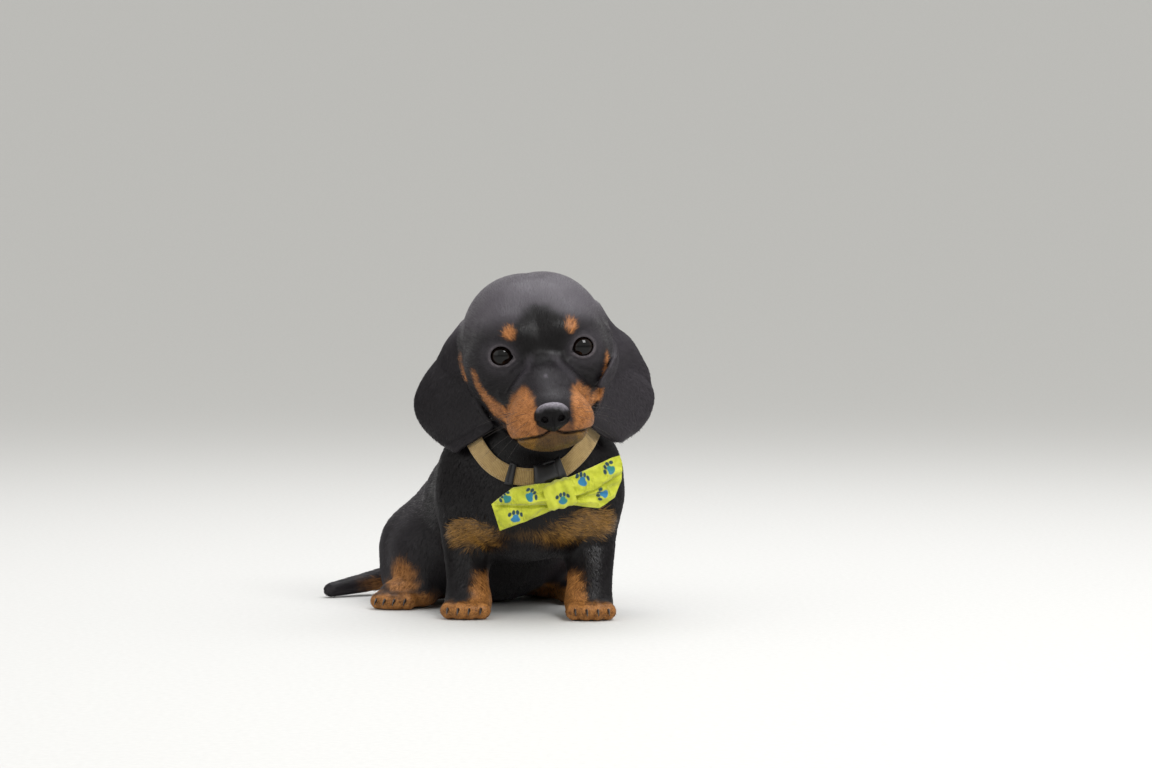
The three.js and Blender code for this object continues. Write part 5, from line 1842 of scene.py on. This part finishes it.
def thread_finish(name, colours):
    """Twisted polyester thread: a soft shine that runs round each stitch."""
    material, tree = finish_of(name)
    place = add(tree, COORDINATES, out="Object")
    wave = {"Vector": place, "Scale": 900, "Distortion": 2}
    twist = add(tree, "ShaderNodeTexWave", wave, out="Fac")
    inputs = {
        "Base Color": add(tree, RAMP, {"Fac": twist}, stops=((0, colours[0]), (1, colours[1]))),
        "Roughness": 0.55,
        "Normal": add(tree, BUMP, {"Height": twist, "Distance": 0.0001, "Strength": 0.4}),
    }
    return finished(material, inputs)


def bristle_finish():
    """Whiskers: stiff, glossy hair, dark, and paler in places."""
    material, tree = finish_of("whisker")
    place = add(tree, COORDINATES, out="Object")
    streak = add(tree, NOISE, {"Vector": place, "Scale": 400, "Detail": 2})
    colour = add(tree, RAMP, {"Fac": streak}, stops=((0.3, "#0f0c0d"), (0.8, "#3a3230")))
    return finished(material, {"Base Color": colour, "Roughness": 0.35})


def floor_finish():
    """Pale matt studio paper with a faint tooth."""
    material, tree = finish_of("studio_paper")
    place = add(tree, COORDINATES, out="Object")
    tooth = add(tree, NOISE, {"Vector": place, "Scale": 300, "Detail": 3})
    inputs = {
        "Base Color": add(tree, RAMP, {"Fac": tooth}, stops=((0.3, "#c4c4c2"), (0.7, "#c9c9c7"))),
        "Roughness": 0.85,
        "Normal": add(tree, BUMP, {"Height": tooth, "Distance": 0.0002, "Strength": 0.1}),
    }
    return finished(material, inputs)


# Geometry Nodes for what repeats along a path: stitches and bristles
def node_tree(name, inputs):
    """A tree with a mesh in and out and named inputs: label, socket kind and default. Gives the
    tree and what it is given."""
    tree = bpy.data.node_groups.new(name, "GeometryNodeTree")
    tree.interface.new_socket("Geometry", in_out="INPUT", socket_type="NodeSocketGeometry")
    for label, kind, default in inputs:
        made = tree.interface.new_socket(label, in_out="INPUT", socket_type=kind)
        if default is not None:
            made.default_value = default
    tree.interface.new_socket("Geometry", in_out="OUTPUT", socket_type="NodeSocketGeometry")
    return tree, tree.nodes.new("NodeGroupInput").outputs


def closed_tree(tree, geometry, material):
    """Ends a tree: one smooth mesh with its material."""
    solid = add(tree, "GeometryNodeRealizeInstances", {"Geometry": geometry})
    smoothed = add(tree, "GeometryNodeSetShadeSmooth", {"Geometry": solid})
    done = add(tree, "GeometryNodeSetMaterial", {"Geometry": smoothed, "Material": material})
    fill(tree, tree.nodes.new("NodeGroupOutput"), {0: done})
    return tree


def stitch_tree():
    """Stitches laid end to end along the edges of a mesh."""
    inputs = (
        ("Pitch", "NodeSocketFloat", 0.0022),
        ("Thread", "NodeSocketFloat", 0.0003),
        ("Share", "NodeSocketFloat", 0.62),
        ("Material", "NodeSocketMaterial", None),
    )
    tree, given = node_tree("stitches", inputs)
    pitch, thread = given["Pitch"], given["Thread"]
    path = add(tree, "GeometryNodeMeshToCurve", {"Mesh": given["Geometry"]})
    even = add(tree, "GeometryNodeResampleCurve", {"Curve": path, "Length": pitch}, mode="LENGTH")
    tangent = add(tree, "GeometryNodeInputTangent")
    turn = add(tree, "FunctionNodeAlignRotationToVector", {"Vector": tangent}, axis="X")
    ball = add(tree, "GeometryNodeMeshIcoSphere", {"Radius": 0.5, "Subdivisions": 2})
    long = add(tree, MATH, {0: pitch, 1: given["Share"]}, operation="MULTIPLY")
    size = add(tree, "ShaderNodeCombineXYZ", {"X": long, "Y": thread, "Z": thread})
    inputs = {"Points": even, "Instance": ball, "Rotation": turn, "Scale": size}
    return closed_tree(tree, add(tree, "GeometryNodeInstanceOnPoints", inputs), given["Material"])


def bristle_tree():
    """A tapered bristle along each run of edges, as thick as the attribute thick says."""
    inputs = (
        ("Sides", "NodeSocketInt", 5),
        ("Thickness", "NodeSocketFloat", 0.00016),
        ("Material", "NodeSocketMaterial", None),
    )
    tree, given = node_tree("bristles", inputs)
    path = add(tree, "GeometryNodeMeshToCurve", {"Mesh": given["Geometry"]})
    ring = {"Resolution": given["Sides"], "Radius": given["Thickness"]}
    ring = add(tree, "GeometryNodeCurvePrimitiveCircle", ring)
    thick = add(tree, "GeometryNodeInputNamedAttribute", {"Name": "thick"}, data_type="FLOAT")
    inputs = {"Curve": path, "Profile Curve": ring, "Scale": thick, "Fill Caps": True}
    return closed_tree(tree, add(tree, "GeometryNodeCurveToMesh", inputs), given["Material"])


def grown_by(tree, name, runs, values, thick=None):
    """The plain mesh that a tree makes of runs of points in the dog's own frame."""
    me = bpy.data.meshes.new(name)
    points = [(np.asarray(p) + SHIFT) * MM for run in runs for p in run]
    starts = np.cumsum([0] + [len(run) for run in runs])
    edges = [(s + i, s + i + 1) for s, run in zip(starts, runs) for i in range(len(run) - 1)]
    me.from_pydata([tuple(p) for p in points], edges, [])
    if thick is not None:
        me.attributes.new("thick", "FLOAT", "POINT").data.foreach_set("value", np.asarray(thick, np.float32))
    path = bpy.data.objects.new(name + "_path", me)
    bpy.context.scene.collection.objects.link(path)
    modifier = path.modifiers.new("grow", "NODES")
    modifier.node_group = tree
    sockets = {item.name: item.identifier for item in tree.interface.items_tree if item.in_out == "INPUT"}
    for label, value in values.items():
        modifier[sockets[label]] = value
    bpy.context.view_layer.update()
    graph = bpy.context.evaluated_depsgraph_get()
    made = bpy.data.meshes.new_from_object(path.evaluated_get(graph))
    made.name = name
    bpy.data.objects.remove(path)
    piece = bpy.data.objects.new(name, made)
    bpy.context.scene.collection.objects.link(piece)
    if not made.materials:
        made.materials.append(values["Material"])
    return piece


def make_web_stitches(material):
    """Two rows of stitches along the webbing."""
    runs = []
    angle = np.radians(np.linspace(0, 360, 241))
    middle, across, out = web_frame(angle)
    for s in (-1, 1):
        edge = middle + across * s * STITCH_ROW
        lack = np.maximum(WEB - flesh(middle + across * s * COLLAR_W / 2), 0) * 0.74
        runs.append(edge + out * (COLLAR_T + 0.16 + lack)[:, None])
    return grown_by(stitch_tree(), "collar_stitches", runs, {**STITCH, "Material": material})


def make_whiskers(material):
    """Whiskers in three rows on each lip, and two over each eye."""
    rng = np.random.default_rng(SEED + 5)
    runs, thick, roots = [], [], []
    for s in (-1, 1):
        for row in range(3):
            for k in range(4):
                at = (s * (11.5 + 2.6 * k), -64 + 4.2 * k, -36.5 - 3.4 * row - 0.5 * k)
                way = (s * (0.75 + 0.1 * k), 0.28 + 0.1 * k, -0.20 - 0.16 * row)
                roots.append((at, way, 11 + 3.2 * k, 0.8))
        for k in range(2):
            roots.append(((s * (15 + 4 * k), -37.5, 9.5), (s * (0.5 + 0.3 * k), -0.3, 0.9), 9, 0.55))
    for at, way, length, size in roots:
        p = HEAD.out(np.array([at]))
        for _ in range(6):
            f = flesh(p)
            g = level(slope_of(flesh, p, f))
            p = p - g * (f + 0.8)[:, None]
        way = level((np.array([way]) + 0.12 * rng.standard_normal((1, 3))) @ HEAD.turn.T)
        way = level(way + g * 0.35)
        run = []
        for i in range(9):
            u = i / 8
            droop = np.array([0, 0.10 * u * u, -0.22 * u * u]) * length
            run.append(p[0] + way[0] * length * u + droop)
            thick.append(size * (1 - u) ** 0.7 + 0.08)
        runs.append(run)
    return grown_by(bristle_tree(), "whiskers", runs, {**BRISTLE, "Material": material}, thick)


# The stage
def make_camera():
    """The photograph's view."""
    camera = bpy.data.objects.new("camera", bpy.data.cameras.new("camera"))
    camera.data.lens = LENS
    camera.data.sensor_width = SENSOR
    camera.location = (np.array(CAMERA_AT) + SHIFT) * MM
    camera.rotation_euler = (math.radians(90 - CAMERA_DIP), 0, 0)
    bpy.context.scene.collection.objects.link(camera)
    bpy.context.scene.camera = camera


def make_lamp(name, at, size, power, colour, target):
    """A square lamp that faces its target."""
    light = bpy.data.lights.new(name, "AREA")
    light.size = size
    light.energy = power
    light.color = linear(colour)[:3]
    lamp = bpy.data.objects.new(name, light)
    lamp.location = at
    lamp.rotation_euler = (Vector(target) - lamp.location).to_track_quat("-Z", "Y").to_euler()
    bpy.context.scene.collection.objects.link(lamp)


def make_floor():
    """A pale floor that rises very gently far off, so that every view meets the same paper."""
    radii = np.linspace(0, FLOOR_R, 28)
    rise = FLOOR_RISE * (np.maximum(radii - FLOOR_FLAT, 0) / (FLOOR_R - FLOOR_FLAT)) ** 2
    around = 96
    points = [
        (r * math.cos(t), r * math.sin(t), z)
        for r, z in zip(radii[1:], rise[1:])
        for t in np.arange(around) / around * 2 * math.pi
    ]
    faces = [tuple(f) for f in grid_faces(len(radii) - 1, around, loop=True)]
    faces.append(tuple(range(around)))
    me = bpy.data.meshes.new("floor")
    me.from_pydata(points, [], faces)
    bm = bmesh.new()
    bm.from_mesh(me)
    for face in bm.faces:
        if face.normal.z < 0:
            face.normal_flip()
    bm.to_mesh(me)
    bm.free()
    me.shade_smooth()
    floor = bpy.data.objects.new("floor", me)
    bpy.context.scene.collection.objects.link(floor)
    me.materials.append(floor_finish())
    floor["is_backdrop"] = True


def make_sky():
    """Even pale light from all round."""
    world = bpy.data.worlds.new("sky")
    bpy.context.scene.world = world
    world.use_nodes = True
    background = world.node_tree.nodes["Background"]
    background.inputs[0].default_value = linear(SKY_COLOUR)
    background.inputs[1].default_value = SKY_STRENGTH
    bpy.context.scene.view_settings.view_transform = "Standard"


# The dog
def keep(piece, slot, *nodes):
    """Rides on the one body and stands for CAD nodes, which it hides. Its slot is not used."""
    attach(piece, "root")
    if nodes:
        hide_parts(*nodes)
    return piece


def marks_of(p, is_head):
    """The marks of the coat at points, from 0 to 1: tan, olive, and a greyish mark that is mostly painted
    sheen.
    """
    all_head = np.full(len(p), is_head)
    return {"tan": tan_of(p, all_head), "olive": olive_of(p), "grey_and_sheen": grey_and_sheen_of(p, all_head)}


def comb_of(p, is_head):
    """Where each point is on the hair's comb, in metres: drawn out along the lie of the hair."""
    if is_head:
        radial = HEAD.into(p) - HAIR_FROM
        ear = p * np.array((1, 1, 0.12))
        face = level(radial) * 62 + radial * 0.10
        return np.where(off_flesh(p)[:, None] > 0.5, ear, face) * MM
    lie = np.array((-0.1, 0.55, -0.83))
    return (p - 0.88 * (p @ lie)[:, None] * lie) * MM


def skin_details(p):
    """Bare lids, and the dark skin of the lips and behind the nostrils, from 0 to 1."""
    lid = np.zeros(len(p))
    for side, s in SIDES.items():
        e = EYES[side].into(p)
        near = np.linalg.norm(e, axis=1) < 12
        opening = eye_opening(e, s)
        low = 0.55 + 0.45 * smooth(2, -3, e[:, 2])
        low *= 0.8 + 0.2 * ragged_noise(p, 0.8)
        lid = np.maximum(lid, near * (e[:, 1] < -1) * low * smooth(1.8, 1.0, opening))
    q = HEAD.into(p)
    below = mouth_height(q[:, 0]) - q[:, 2]
    line = np.exp(-((below / 0.9) ** 2)) * smooth(-30, -34, q[:, 1])
    furrow = np.exp(-((q[:, 0] / 0.6) ** 2)) * smooth(-60, -62, q[:, 1]) * smooth(-38, -41, q[:, 2])
    furrow = furrow * (below < 0)
    behind = smooth(0.2, -0.3, nose_field(pierced=False)(NOSE.into(p)))
    return {"lid": lid, "lip": np.clip(np.max([line, furrow, behind], axis=0), 0, 1)}


FLESH_NODES = ("head", "lower_jaw", "neck", "torso", "tail") + tuple(
    f"{part}_{side}"
    for part in ("ear", "foreleg", "forepaw", "hindleg", "hindpaw")
    for side in SIDES
)


def make_dog():
    """The skin, the coat, the nose, the eyes, the claws and the whiskers."""
    head_mesh, body_mesh, head_lattice, body_lattice = make_skin()
    head_marks = marks_of(head_mesh[0], True)
    body_marks = marks_of(body_mesh[0], False)
    points, faces = joined(head_mesh, body_mesh)
    attributes = {key: np.concatenate([head_marks[key], body_marks[key]]) for key in head_marks}
    attributes["comb"] = np.vstack([comb_of(head_mesh[0], True), comb_of(body_mesh[0], False)])
    attributes.update(skin_details(points))
    skin = mesh_piece("skin", points, faces, skin_finish(), attributes)
    uv = unwrapped(skin)
    keep(skin, "coat_black", *FLESH_NODES)
    hair = hair_finish()
    split = len(head_mesh[1])
    head_coat = make_coat(
        "head_coat", head_mesh, head_lattice, True, SHORT_TUFT, hair, uv[:split], head_marks, 3
    )
    body_coat = make_coat(
        "body_coat", body_mesh, body_lattice, False, LONG_TUFT, hair, uv[split:], body_marks, 6
    )
    for piece in head_coat + body_coat:
        keep(piece, "coat_black")
    keep(make_nose(nose_finish()), "nose_leather", "nose")
    eye = eye_finish()
    for side in SIDES:
        keep(make_eye(side, eye), "eye", f"eye_{side}")
    keep(make_claws(claw_finish()), "coat_black")
    keep(make_whiskers(bristle_finish()), "coat_black")


def make_collar():
    """The webbing with its stitches, the buckle and the slider."""
    plastic = plastic_finish()
    keep(make_webbing(webbing_finish()), "webbing", "collar")
    keep(make_web_stitches(thread_finish("webbing_thread", ("#a08055", "#d9c29c"))), "webbing")
    keep(make_buckle(plastic), "buckle_plastic", "collar_buckle")
    keep(make_slider(plastic), "buckle_plastic", "collar_slider")


def make_bow():
    """The knot and the two wings of the bow."""
    cloth = cloth_finish()
    knot = keep(make_knot(cloth), "bow_cloth", "bow_knot")
    for side in SIDES:
        wing = keep(make_wing(side, cloth), "bow_cloth", f"bow_wing_{side}")


make_camera()
make_dog()
make_collar()
make_bow()
make_floor()
make_sky()
for lamp in LAMPS:
    make_lamp(*lamp)
boxes = {"cad": cad_box, "visual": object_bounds()}
{key: [list(map(float, corner)) for corner in box] for key, box in boxes.items()}
